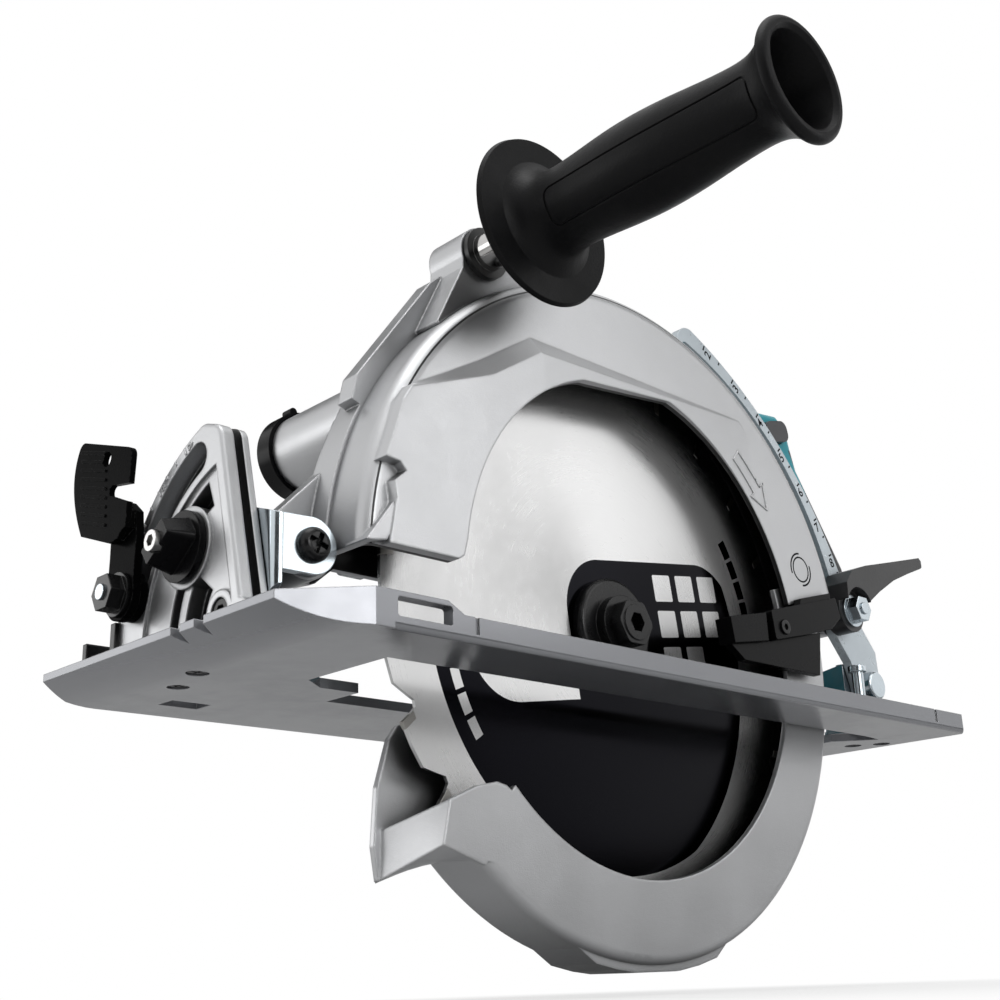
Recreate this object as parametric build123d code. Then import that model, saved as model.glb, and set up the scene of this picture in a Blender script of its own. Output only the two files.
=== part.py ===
from build123d import *
import os
from math import atan2, cos, degrees, hypot, radians, sin

# Cordless circular saw with the blade on its left, a rear D handle and a side handle.
# Millimetres. X points to the rear, Y from the blade towards the motor, Z up.
# The origin lies on the sole, straight under the arbor, in the middle plane of the blade.

# General clearances
RUN = 0.05
GAP = 0.3
FIT = 0.1

# Blade and arbor
ARBOR_Z = 35.0
BLADE_R = 130.0
BLADE_T = 1.6
KERF = 2.15
TEETH = 24
GULLET = 8.8
TIP_PHASE = 9.1
BORE_R = 12.7
SPINDLE_R = 9.0
SPINDLE_TAIL_R = 7.0
FLANGE_R = 22.5
INNER_FLANGE_T = 4.4
OUTER_FLANGE_T = 5.2
HUB_R = 13.5
HUB_T = 5.0
BOLT_HEAD_T = 6.5
BOLT_AF = 19.0
BOLT_SHANK_R = 5.0

# Blade case, on the blade side of the split
CASE_ROOM = 25.0
CASE_R = BLADE_R + CASE_ROOM
CASE_FACE_Y = -22.6
CASE_SPLIT_Y = -1.0
CASE_WALL = 3.5
CASE_EDGE = 6.5
PANEL_RISE = 4.1
WINDOW_RIM = 47.0
WINDOW_REAR_RIM = 43.0
WINDOW_R = CASE_R - WINDOW_RIM
WINDOW_REAR_R = CASE_R - WINDOW_REAR_RIM

# Outlines on the case are drawn for this radius, and spread from the arbor with the case
DRAWN_R = 155.0
SPREAD = CASE_R / DRAWN_R

# Gear housing, on the motor side of the split
HOUSING_STEP = 1.5
HOUSING_R = CASE_R + HOUSING_STEP
PAN_BACK_Y = 16.5
PAN_WALL = 3.5
BOSS_R = 25.0
BOSS_Y = 5.6
GEARBOX_BACK_Y = 42.0
CHAMBER_Y0 = 19.5
CHAMBER_Y1 = 33.5
GEARBOX_WALL = 3.5

# Drive: pinion on the rotor, wheel on the spindle
MODULE = 1.5
PINION_TEETH = 11
WHEEL_TEETH = 37
CENTRE = MODULE * (PINION_TEETH + WHEEL_TEETH) / 2
WHEEL_ROOM = 2.25
PINION_ROOM = 4.25
ADDENDUM = 0.8 * MODULE
DEDENDUM = 1.6 / 1.5 * MODULE
CHAMBER_R = MODULE * WHEEL_TEETH / 2 + WHEEL_ROOM
PINION_CHAMBER_R = MODULE * PINION_TEETH / 2 + PINION_ROOM
GEARBOX_R = CHAMBER_R + GEARBOX_WALL
MOTOR_X = 0.6 * CENTRE
MOTOR_Z = ARBOR_Z + 0.8 * CENTRE
GEAR_Y0 = 21.0
GEAR_Y1 = 31.0

# Motor
STATOR_R = 41.5
STATOR_ROOM = 1.5
MOTOR_WALL = 4.0
MOTOR_R = STATOR_R + STATOR_ROOM + MOTOR_WALL
MOTOR_END_Y = 112.0
CAP_T = 14.0
ROTOR_R = 23.3
AIR_GAP = 0.5
ROTOR_SHAFT_R = 5.0
ROTOR_TAIL_R = 4.0
FAN_R = 37.0

# Bearings: outer radius and width
ARBOR_BEARING = (18.0, 9.0)
TAIL_BEARING = (13.0, 7.0)
ROTOR_BEARING = (11.0, 7.0)

# Lower guard
GUARD_ROOM = 11.8
GUARD_R = BLADE_R + GUARD_ROOM
GUARD_DRAWN_R = 141.8
GUARD_FACE_Y = -18.4
GUARD_BACK_Y = 12.4
GUARD_T = 2.5
GUARD_RIM = 33.1
GUARD_IN_R = GUARD_R - GUARD_RIM
GUARD_NOSE_DEG = 224.0
GUARD_TAIL_DEG = 377.0
GUARD_HUB_R = 33.0

# Base
PIVOT_X = -168.0 * SPREAD
QUAD_X1 = PIVOT_X - 17.0
QUAD_T = 12.0
QUAD_X0 = QUAD_X1 - QUAD_T
FRONT_REACH = 11.0
BASE_FRONT = QUAD_X0 - FRONT_REACH
DEPTH_BOLT_X = 171.0 * SPREAD
RIVET_X = DEPTH_BOLT_X + 24.0
REAR_REACH = 9.5
BASE_REAR = RIVET_X + REAR_REACH
BASE_NEAR = -56.2
BASE_FAR = 120.6
SOLE_T = 4.0
SKI_L = 27.0
SKI_X = BASE_FRONT + SKI_L
SKI_RISE = 6.5
LIP_H = 9.2
LIP_T = 5.0
LIP_HIGH = 13.2
CORNER_X = 32.0
CORNER_Y = 12.0
SLOT_NEAR = -21.4
SLOT_FRONT = -GUARD_R - 1.2
SLOT_REAR = GUARD_R + 24.2
SLOT_FAR = 35.0
SLOT_WIDE = 56.0
SLOT_WIDE_FRONT = -112.0
SLOT_WIDE_REAR = 118.0
RULE_W = 24.5
RULE_H = 6.8
RULE_X = BASE_FRONT + 53.5
RULE_Z = 7.9

# Bevel: axis along X, quadrant at the front of the base
BEVEL_Y = -6.0
BEVEL_Z = 10.0
BEVEL_MAX = 48.0
QUAD_R = 84.0
QUAD_RIM = 5.0
QUAD_SINK = 1.4
QUAD_BEAD = 1.5
BEVEL_BOLT_Y = 63.0
BEVEL_BOLT_Z = 31.6
BEVEL_SLOT_W = 9.0
BEVEL_RECESS_W = 13.0
PIN_R = 3.0
KNOB_Y = 28.0
KNOB_Z = 43.0
KNOB_DISC_R = 13.6
PLATE_T = 3.6
BEND_R = 4.0
REAR_EAR_X0 = DEPTH_BOLT_X + 1.0
REAR_EAR_X1 = REAR_EAR_X0 + 8.0
REAR_PLATE_X0 = REAR_EAR_X1 + 0.6
REAR_PLATE_X1 = REAR_PLATE_X0 + 3.8

# Depth: axis along Y at the front, arc guide at the rear
PIVOT_Z = 40.0
EAR_R = 10.8
EAR_Y0 = -10.0
EAR_Y1 = -6.0
LUG_R = 12.0
PIVOT_SCREW_R = 4.0
BUSH_R = 7.0
DEPTH_MAX = 28.0
DEPTH_BOLT_Z = ARBOR_Z + 31.0 * SPREAD
RIVET_Z = 30.5
GUIDE_RATIO = 0.66
GUIDE_Y0 = -9.0
GUIDE_Y1 = -4.0
GUIDE_W = 10.4
GUIDE_SLOT_W = 6.6
GUIDE_ARC_X = -22.0 * SPREAD
GUIDE_ARC_Z = ARBOR_Z - 40.0 * SPREAD
GUIDE_EDGE = 17.4
GUIDE_ARC_R = hypot(DEPTH_BOLT_X - GUIDE_ARC_X, DEPTH_BOLT_Z - GUIDE_ARC_Z) + GUIDE_EDGE
FOOT_R = 9.5
DEPTH_BOLT_R = 3.0

# Side handle
HANDLE_X = -83.0 * SPREAD
HANDLE_Z = ARBOR_Z + 151.0 * SPREAD
BOSS_FACE_Y = -15.0
STUD_R = 8.5
COLLAR_R = STUD_R + 3.2
HANDLE_BOSS_R = COLLAR_R + 0.9
FLANGE_Y = -51.0
HANDLE_END_Y = -182.0
HANDLE_FLANGE_R = 37.0
GRIP_R = 18.0
TRUMPET_R = 24.4
GRIP_LINE = 0.5
GRIP_LINE_WAY = (-0.895, 0, -0.446)

# Dust outlet
DUST_X = -112.0 * SPREAD
DUST_Z = ARBOR_Z + 78.0 * SPREAD
DUST_R = 17.8
DUST_WALL = 2.3
DUST_BORE = DUST_R - DUST_WALL
DUST_END_Y = 80.0
DUST_RING_R = DUST_R + 2.0
DUST_RING_W = 9.0

# Rear handle
REAR_Y0 = 26.0
REAR_Y1 = 70.0
REAR_SPLIT = 48.0
SHELL_T = 3.0
FOOT_Z0 = 86.0
FOOT_Z1 = 104.0
GRIP_TOP = (174.0, 153.0)
GRIP_LOW = (206.0, 108.5)
TRIGGER_TRAVEL = 6.0
LOCK_X = 182.5
LOCK_Z = 183.0

# Shaft lock
LOCK_R = 20.0
LOCK_DEG = 215.0
LOCK_PIN_R = 2.6
LOCK_HOLES = 12
LOCK_CAP_R = 7.0
LOCK_TRAVEL = 4.5
LOCK_CAP_T = 6.0
LOCK_ROOM = 1.0

# Battery
BATTERY_X0 = 128.0
BATTERY_X1 = 238.0
BATTERY_Y0 = 52.0
BATTERY_Y1 = 112.0
BATTERY_Z0 = 26.0
BATTERY_GAP = 0.5
RAIL_H = 9.0
RAIL_T = 3.0
RAIL_FOOT = 3.5

# Chip shield screw
SHIELD_SCREW_X = 93.5 * SPREAD
SHIELD_SCREW_Z = ARBOR_Z + 9.0 * SPREAD

# Case screws sit on this radius at these angles
SCREW_CIRCLE = CASE_R - 8.2
SCREW_DEGS = (50.0, 84.0, 118.0, 158.0)
SCREW_R = 2.0
SCREW_BOSS_R = 4.4


def slab_x(profile, low, high):
    """A YZ profile extruded from x = low to x = high."""
    return Pos(low, 0, 0) * extrude(Plane.YZ * profile, amount=high - low, dir=(1, 0, 0))


def slab_y(profile, low, high):
    """An XZ profile extruded from y = low to y = high."""
    return Pos(0, low, 0) * extrude(Plane.XZ * profile, amount=high - low, dir=(0, 1, 0))


def slab_z(profile, low, high):
    """An XY profile extruded from z = low to z = high."""
    return Pos(0, 0, low) * extrude(profile, amount=high - low, dir=(0, 0, 1))


def rod_x(radius, low, high, y, z):
    return slab_x(Pos(y, z) * Circle(radius), low, high)


def rod_y(radius, low, high, x, z):
    return slab_y(Pos(x, z) * Circle(radius), low, high)


def rod_z(radius, low, high, x, y):
    return slab_z(Pos(x, y) * Circle(radius), low, high)


def box(x0, x1, y0, y1, z0, z1):
    """A box between six planes."""
    return Pos((x0 + x1) / 2, (y0 + y1) / 2, (z0 + z1) / 2) * Box(x1 - x0, y1 - y0, z1 - z0)


def poly(*points):
    """A polygon through the points, whichever way round they are given."""
    twice_area = sum(a[0] * b[1] - b[0] * a[1] for a, b in zip(points, points[1:] + points[:1]))
    ordered = points if twice_area > 0 else points[::-1]
    return Polygon(*ordered, align=None)


def closed(*edges):
    """A face bounded by a closed run of edges, facing up."""
    face = make_face(Curve() + list(edges))
    return face if face.faces()[0].normal_at().Z > 0 else -face


def polar(radius, degrees_up, x=0.0, z=ARBOR_Z):
    """The point at a radius and angle about an axis, the arbor unless given."""
    angle = radians(degrees_up)
    return (x + radius * cos(angle), z + radius * sin(angle))


def spread(*points):
    """Outline points of the case, moved out or in with it."""
    return [(x * SPREAD, ARBOR_Z + (z - ARBOR_Z) * SPREAD) for x, z in points]


def guard_spread(*points):
    """Outline points of the lower guard's nose, moved out or in with the guard."""
    ratio = GUARD_R / GUARD_DRAWN_R
    return [(x * ratio, ARBOR_Z + (z - ARBOR_Z) * ratio) for x, z in points]


def pie(start, end, radius=400.0, x=0.0, z=ARBOR_Z):
    """A wedge from the centre, wide enough to cut any ring here."""
    steps = 8
    rim = [polar(radius, start + (end - start) * i / steps, x, z) for i in range(steps + 1)]
    return poly((x, z), *rim)


def band(inner, outer, start, end, x=0.0, z=ARBOR_Z):
    """Part of a ring between two angles."""
    ring = Pos(x, z) * (Circle(outer) - Circle(inner))
    return ring & pie(start, end, 3 * outer, x, z)


def round_rim(solid, y, radius):
    """Fillet the round edge of a disc at the plane y."""
    edges = [e for e in solid.edges() if abs(e.center().Y - y) < 1e-4 and e.geom_type == GeomType.CIRCLE]
    return fillet(edges, radius)


def hexagon(flats):
    return RegularPolygon(flats / 2, 6, major_radius=False)


def gear_face(teeth, fill, addendum, dedendum, phase):
    """A spur gear outline with short tapered teeth, one tooth at the phase angle."""
    pitch = MODULE * teeth / 2
    step = 360.0 / teeth
    points = []
    for i in range(teeth):
        middle = phase + i * step
        for radius, half in (
            (pitch - dedendum, fill * 0.36),
            (pitch, fill * 0.25),
            (pitch + addendum, fill * 0.14),
        ):
            points.append((radius, middle - half * step))
        for radius, half in (
            (pitch + addendum, fill * 0.14),
            (pitch, fill * 0.25),
            (pitch - dedendum, fill * 0.36),
        ):
            points.append((radius, middle + half * step))
    return poly(*[polar(r, a, 0, 0) for r, a in points])


# Base and what is fixed to it


def sole_edges(*top):
    """The side outline of a base strip: flat, turned up at the front, then the given top."""
    flat = Line((BASE_REAR, 0), (SKI_X, 0))
    ski = TangentArc((SKI_X, 0), (BASE_FRONT, SKI_RISE), tangent=(-1, 0))
    upper = Polyline((BASE_FRONT, SKI_RISE), (BASE_FRONT, SKI_RISE + SOLE_T - 1), *top, (BASE_REAR, 0))
    return closed(flat, ski, upper)


def blade_opening():
    """The opening for blade and guard, wider beside the gearbox, with a pointed rear end."""
    return poly(
        (SLOT_FRONT, SLOT_NEAR),
        (SLOT_FRONT, SLOT_FAR - 9),
        (SLOT_FRONT + 12, SLOT_FAR),
        (SLOT_WIDE_FRONT, SLOT_FAR),
        (SLOT_WIDE_FRONT, SLOT_WIDE),
        (SLOT_WIDE_REAR, SLOT_WIDE),
        (SLOT_WIDE_REAR, SLOT_FAR),
        (SLOT_REAR, SLOT_FAR),
        (SLOT_REAR, SLOT_NEAR + 20),
        (SLOT_REAR + 16, SLOT_NEAR + 2),
        (SLOT_REAR, SLOT_NEAR),
    )


def base_plate():
    sole = slab_y(sole_edges((SKI_X, SOLE_T), (BASE_REAR, SOLE_T)), BASE_NEAR, BASE_FAR)
    corner_x = BASE_FRONT + CORNER_X
    rule_rear = RULE_X + RULE_W / 2 - 2
    near_top = ((corner_x, LIP_HIGH), (rule_rear, LIP_HIGH), (rule_rear + 7.5, LIP_H), (BASE_REAR, LIP_H))
    near_lip = slab_y(sole_edges(*near_top), BASE_NEAR, BASE_NEAR + LIP_T)
    corner_strip = poly(
        (BASE_FRONT, BASE_NEAR + CORNER_Y),
        (corner_x, BASE_NEAR),
        (corner_x + 8, BASE_NEAR),
        (corner_x + 8, BASE_NEAR + LIP_T),
        (corner_x, BASE_NEAR + LIP_T),
        (BASE_FRONT, BASE_NEAR + CORNER_Y + LIP_T),
    )
    corner_lip = slab_z(corner_strip, 0, 40) & slab_y(sole_edges(*near_top), BASE_NEAR, BASE_NEAR + 40)
    far_lip = slab_y(sole_edges((SKI_X, LIP_H - 1), (BASE_REAR, LIP_H - 1)), BASE_FAR - 3.5, BASE_FAR)
    rear_lip = box(BASE_REAR - 4, BASE_REAR, BASE_NEAR, BASE_FAR, 0, 6)
    base = sole + near_lip + far_lip + rear_lip
    near_low = [e for e in base.edges() if abs(e.center().Y - BASE_NEAR) < 1e-3 and e.center().Z < SKI_RISE]
    near_low = [e for e in near_low if e.length > 20 and e.bounding_box().max.Z < SKI_RISE + 0.1]
    base = fillet(near_low, 2.2)
    base += corner_lip
    bridge = box(RULE_X - RULE_W / 2 - 4, RULE_X + RULE_W / 2 + 4, 100, 112, 0, RULE_Z + RULE_H / 2 + 5)
    base += bridge
    plan = poly(
        (BASE_FRONT, BASE_NEAR + CORNER_Y),
        (BASE_FRONT + CORNER_X, BASE_NEAR),
        (BASE_REAR - 3, BASE_NEAR),
        (BASE_REAR, BASE_NEAR + 3),
        (BASE_REAR, BASE_FAR - 12),
        (BASE_REAR - 12, BASE_FAR),
        (BASE_FRONT + 14, BASE_FAR),
        (BASE_FRONT, BASE_FAR - 8),
    )
    base &= slab_z(plan, -1, 40)
    base -= slab_z(blade_opening(), -1, SOLE_T + 1)
    rule_window = Pos(RULE_X, RULE_Z) * RectangleRounded(RULE_W, RULE_H, 1.2)
    base -= slab_y(rule_window, BASE_NEAR - 1, BASE_NEAR + LIP_T + 1)
    base -= slab_y(rule_window, 99, BASE_FAR + 1)
    base -= box(RULE_X - 10, RULE_X + 8, 88, 99, -1, SOLE_T + 1)
    base -= rule_screw_hole()
    for mark_x in (SLOT_FRONT + 12.0, SLOT_REAR + 10.0):
        base -= box(mark_x - 1.0, mark_x + 1.0, BASE_NEAR - 1, BASE_NEAR + 0.8, 3, LIP_H + 5)
    for mark_y in (0.0, 15.0):
        notch = poly((BASE_FRONT, mark_y - 3), (BASE_FRONT, mark_y + 3), (BASE_FRONT + 6, mark_y))
        base -= slab_z(notch, -1, 20)
    for x, y in base_screw_places():
        base -= rod_z(SCREW_R + FIT, -1, SOLE_T + 6, x, y) + rod_z(4.4, -1, 2.6, x, y)
    return base


def base_screw_places():
    front = QUAD_X1 + 2
    rear = REAR_EAR_X1 + 8
    return ((front, 40.0), (front + 7, 65.0), (rear, 0.0), (rear + 8, -12.0))


def base_screws():
    screws = []
    for x, y in base_screw_places():
        screw = rod_z(4.0, 0.6, 2.6, x, y) + rod_z(SCREW_R, 2.6, 7.0, x, y)
        screw -= Pos(x, y, 0.6) * Box(5.2, 1.0, 1.6) + Pos(x, y, 0.6) * Box(1.0, 5.2, 1.6)
        screws.append(screw)
    return Compound(children=screws)


def rule_screw_hole():
    return rod_z(SCREW_R + 1 + RUN, RULE_Z, 30, RULE_X, 106)


def rule_screw():
    """Thumb screw that holds a guide rule in the bridge on the base."""
    top = RULE_Z + RULE_H / 2 + 5
    head = rod_z(7.0, top + GAP, top + 6, RULE_X, 106)
    for i in range(8):
        x, y = polar(7.6, 45 * i, RULE_X, 106)
        head -= rod_z(1.6, top, top + 7, x, y)
    return head + rod_z(SCREW_R + 1, RULE_Z + RULE_H / 2 + 0.4, top + GAP, RULE_X, 106)


def quadrant_outline():
    low_right = (BEVEL_Y - 5, 3)
    top_right = (BEVEL_Y + 14.5, BEVEL_Z + 76)
    arc_top = polar(QUAD_R, 72, BEVEL_Y, BEVEL_Z)
    arc_low = polar(QUAD_R, 6, BEVEL_Y, BEVEL_Z)
    arc = CenterArc((BEVEL_Y, BEVEL_Z), QUAD_R, 6, 66)
    rest = Polyline(arc_low, (arc_low[0], 3), low_right, top_right, arc_top)
    face = closed(arc, rest)
    corner = face.vertices().sort_by(Axis.Y)[-2:]
    return fillet(corner, 7)


def bevel_quadrant():
    """Die-cast quadrant: bevel slot in a recess, sunk face, pockets, a grooved edge and a foot."""
    outline = quadrant_outline()
    body = slab_x(outline, QUAD_X0, QUAD_X1)
    body = fillet([e for e in body.edges() if abs(e.center().X - QUAD_X0) < 1e-4], QUAD_BEAD)
    slot_angle = degrees(atan2(BEVEL_BOLT_Z - BEVEL_Z, BEVEL_BOLT_Y - BEVEL_Y))
    slot_r = hypot(BEVEL_BOLT_Z - BEVEL_Z, BEVEL_BOLT_Y - BEVEL_Y)
    path = CenterArc((BEVEL_Y, BEVEL_Z), slot_r, slot_angle - 1, BEVEL_MAX + 2)
    pocket_floor = QUAD_X1 - 4
    seat = Pos(KNOB_Y, KNOB_Z) * Circle(KNOB_DISC_R + 2)
    bolt_boss = Pos(5, 14) * Circle(8)
    inside = slot_r - BEVEL_RECESS_W / 2 - 3
    sunk = offset(outline, -QUAD_RIM) & (Pos(BEVEL_Y, BEVEL_Z) * Circle(inside))
    body -= slab_x(sunk - seat - bolt_boss, QUAD_X0 - 1, QUAD_X0 + QUAD_SINK)
    body -= slab_x(SlotArc(path, BEVEL_RECESS_W), QUAD_X0 - 1, pocket_floor)
    body -= slab_x(SlotArc(path, BEVEL_SLOT_W), QUAD_X0 - 1, QUAD_X1 + 1)
    for inner, outer, start, end in ((40, 46, 2, 33), (22, 35.5, 3, 38), (49, 60, 50, 68)):
        pocket = band(inner, outer, start, end, BEVEL_Y, BEVEL_Z) - seat - bolt_boss
        body -= slab_x(pocket, QUAD_X0 - 1, pocket_floor)
    edge_groove = poly((BEVEL_Y - 8, 14), (BEVEL_Y + 12, 97), (BEVEL_Y + 23.5, 97), (BEVEL_Y + 3.6, 14))
    body -= slab_x(edge_groove, QUAD_X1 - 6.4, QUAD_X1 - 2.8)
    body += box(QUAD_X1, QUAD_X1 + 15.5, 34, 74, 3, 8)
    body += rod_x(7.0, QUAD_X0, QUAD_X1, BEVEL_Y, BEVEL_Z)
    body += box(QUAD_X0 - 2, QUAD_X1, 74, 77.5, 3, 24) + box(QUAD_X0 - 2, QUAD_X1 - 4, 96, 99, 3, 20)
    body += box(QUAD_X0 + 2, QUAD_X1 - 2, 76, 99, 3, 9)
    body -= rod_x(PIN_R, QUAD_X0 + 3, QUAD_X1 + 1, BEVEL_Y, BEVEL_Z)
    body -= rod_x(2.5 + RUN, QUAD_X0 - 1, QUAD_X1 + 1, KNOB_Y, KNOB_Z)
    body -= rod_x(5.2, QUAD_X0 - 1, QUAD_X0 + 4, 5, 14) + rod_x(SCREW_R + 1, QUAD_X0, QUAD_X1 - 1, 5, 14)
    for x, y in base_screw_places()[:2]:
        body -= rod_z(SCREW_R, 0, 7.2, x, y)
    return body - slab_y(sole_edges((SKI_X, SOLE_T), (BASE_REAR, SOLE_T)), BASE_NEAR, BASE_FAR)


def quadrant_bolt():
    """Socket bolt in the foot of the quadrant."""
    head = rod_x(4.8, QUAD_X0 + 0.6, QUAD_X0 + 4, 5, 14)
    head -= slab_x(Pos(5, 14) * hexagon(5), QUAD_X0, QUAD_X0 + 3)
    return head + rod_x(SCREW_R + 1, QUAD_X0 + 4, QUAD_X1 - 1, 5, 14)


def rear_pivot_bracket():
    """Bracket on the base that carries the rear bevel pin and the upright stop pin."""
    ear = slab_x(poly((-20, SOLE_T), (6, SOLE_T), (2, 17), (-4, 19), (-20, 19)), REAR_EAR_X0, REAR_EAR_X1)
    foot = box(REAR_EAR_X0, BASE_REAR - 4.2, -18, 6, SOLE_T, SOLE_T + 2.5)
    bracket = ear + foot
    bracket -= rod_x(PIN_R, REAR_EAR_X0 - 1, REAR_EAR_X1 + 1, BEVEL_Y, BEVEL_Z)
    for x, y in base_screw_places()[2:]:
        bracket -= rod_z(SCREW_R, 0, 8, x, y)
    bracket -= rod_x(5.2, REAR_EAR_X1, REAR_PLATE_X1 + 1, BEVEL_Y, BEVEL_Z)
    return bracket - stop_pin()


def pivot_pins():
    """The two pins of the bevel axis."""
    front = rod_x(PIN_R, QUAD_X0 + 3, QUAD_X1 + PLATE_T + 2, BEVEL_Y, BEVEL_Z)
    rear = rod_x(PIN_R, REAR_EAR_X0, REAR_PLATE_X1 + 1.5, BEVEL_Y, BEVEL_Z)
    return Compound(children=[front, rear])


def stop_pin():
    """Upright pin with a wide head on the rear bracket."""
    x = (REAR_EAR_X0 + REAR_EAR_X1) / 2
    return rod_z(3.0, 12, 35, x, -15) + rod_z(4.6, 35, 38, x, -15)


# Tilting frame


def front_angle_plate():
    """Zinc plate behind the quadrant, bent round into the ear of the depth pivot."""
    x1 = QUAD_X1 + 0.4 + PLATE_T
    x0 = QUAD_X1 + 0.4
    upper = ((EAR_Y0, 24), (EAR_Y0, 50), (4, 55), (66, 41))
    lower = ((72, 33), (66, 23), (6, 8), (-4, 6), (BEVEL_Y, 20))
    outline = poly(*upper, *lower)
    outline += Pos(BEVEL_Y, BEVEL_Z) * Circle(4.7)
    plate = slab_x(outline, x0, x1)
    ear = poly((x0, 29), (x0, 50), (PIVOT_X, PIVOT_Z + EAR_R), (PIVOT_X, PIVOT_Z - EAR_R))
    ear += Pos(PIVOT_X, PIVOT_Z) * Circle(EAR_R)
    plate += slab_y(ear, EAR_Y0, EAR_Y1)
    bend = [e for e in plate.edges() if e.length > 20 and abs(e.center().X - x0) < 1e-3]
    bend = [e for e in bend if abs(e.center().Y - EAR_Y0) < 1e-3]
    plate = fillet(bend, BEND_R)
    plate -= rod_x(PIN_R + RUN, x0 - 1, x1 + 1, BEVEL_Y, BEVEL_Z)
    plate -= rod_x(DEPTH_BOLT_R, x0 - 1, x1 + 1, BEVEL_BOLT_Y, BEVEL_BOLT_Z)
    return plate - rod_y(PIVOT_SCREW_R, EAR_Y0 - 1, EAR_Y1 + 1, PIVOT_X, PIVOT_Z)


def bevel_bolt():
    plate_back = QUAD_X1 + 0.4 + PLATE_T
    head = rod_x(7.0, plate_back, plate_back + 3, BEVEL_BOLT_Y, BEVEL_BOLT_Z)
    return head + rod_x(DEPTH_BOLT_R, QUAD_X0 - 15.5, plate_back, BEVEL_BOLT_Y, BEVEL_BOLT_Z)


def rear_angle_plate():
    """Zinc plate on the rear bevel pin, bent round into the tab that carries the guide."""
    tab_y0 = GUIDE_Y1 + GAP
    tab_y1 = tab_y0 + 3.8
    outline = poly((BEVEL_Y + 2, 7), (4, 9), (9, 20), (9, 40), (tab_y0, 42), (tab_y0, 18), (BEVEL_Y, 14))
    outline += Pos(BEVEL_Y, BEVEL_Z) * Circle(4.7)
    plate = slab_x(outline, REAR_PLATE_X0, REAR_PLATE_X1)
    tab = poly((REAR_PLATE_X0, 20), (REAR_PLATE_X0, 42), (RIVET_X, RIVET_Z + 11), (RIVET_X, RIVET_Z - 9.5))
    tab += Pos(RIVET_X, RIVET_Z) * Circle(9.5)
    plate += slab_y(tab, tab_y0, tab_y1)
    plate -= rod_x(PIN_R + RUN, REAR_PLATE_X0 - 1, REAR_PLATE_X1 + 1, BEVEL_Y, BEVEL_Z)
    return plate - rod_y(3.0, tab_y0 - 1, tab_y1 + 1, RIVET_X, RIVET_Z)


def guide_rivet():
    """Rivet of the depth guide, with its wide head towards the blade side."""
    head = round_rim(rod_y(7.5, GUIDE_Y0 - 6, GUIDE_Y0 - GAP, RIVET_X, RIVET_Z), GUIDE_Y0 - 6, 1.2)
    tail = rod_y(4.6, GUIDE_Y1 + GAP + 3.8, GUIDE_Y1 + 6.4, RIVET_X, RIVET_Z)
    return head + rod_y(3.0, GUIDE_Y0 - GAP, GUIDE_Y1 + GAP + 3.8, RIVET_X, RIVET_Z) + tail


def phillips(depth):
    """The cross of a screw head, cut from its front face downwards."""
    return extrude(Rectangle(8.4, 2.1) + Rectangle(2.1, 8.4), amount=depth)


def pivot_screw():
    """Truss-head screw of the depth pivot, from the ear into the far side of the lug."""
    head = round_rim(rod_y(6.6, EAR_Y0 - 4.2, EAR_Y0, PIVOT_X, PIVOT_Z), EAR_Y0 - 4.2, 3.2)
    head -= Pos(PIVOT_X, EAR_Y0 - 4.4, PIVOT_Z) * Rot(-90, 0, 0) * Rot(0, 0, 20) * phillips(2.6)
    shank = rod_y(PIVOT_SCREW_R, EAR_Y0, PAN_BACK_Y + 0.6, PIVOT_X, PIVOT_Z)
    nut = slab_y(Pos(PIVOT_X, PIVOT_Z) * hexagon(12), PAN_BACK_Y + 0.6, PAN_BACK_Y + 6)
    return head + shank + nut


# Depth guide


def guide_point(depth_deg):
    """Where the depth bolt stands in the guide, as set at full depth, for a depth angle."""
    swing = radians(depth_deg)
    dx = DEPTH_BOLT_X - PIVOT_X
    dz = DEPTH_BOLT_Z - PIVOT_Z
    bolt_x = PIVOT_X + dx * cos(swing) - dz * sin(swing)
    bolt_z = PIVOT_Z + dx * sin(swing) + dz * cos(swing)
    back = radians(GUIDE_RATIO * depth_deg)
    rx = bolt_x - RIVET_X
    rz = bolt_z - RIVET_Z
    return (RIVET_X + rx * cos(back) - rz * sin(back), RIVET_Z + rx * sin(back) + rz * cos(back))


def guide_beside(depth_deg, inwards, onwards=0.0):
    """A point of the guide beside the bolt's path, towards the arbor, or on along the path."""
    ax, az = guide_point(depth_deg - 0.2)
    bx, bz = guide_point(depth_deg + 0.2)
    length = hypot(bx - ax, bz - az)
    tx = (bx - ax) / length
    tz = (bz - az) / length
    x, z = guide_point(depth_deg)
    return (x - tz * inwards + tx * onwards, z + tx * inwards + tz * onwards)


def guide_edge(inwards):
    """A curve beside the bolt's path, from full depth to the least depth."""
    steps = 8
    return Spline(*[guide_beside(DEPTH_MAX * i / steps, inwards) for i in range(steps + 1)])


def guide_slot():
    """The slot along the bolt's path, with round ends."""
    half = GUIDE_SLOT_W / 2
    inner = guide_edge(half)
    outer = guide_edge(-half)
    top = ThreePointArc(inner @ 1, guide_beside(DEPTH_MAX, 0, half), outer @ 1)
    low = ThreePointArc(outer @ 0, guide_beside(0, 0, -half), inner @ 0)
    return closed(inner, top, outer, low)


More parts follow.
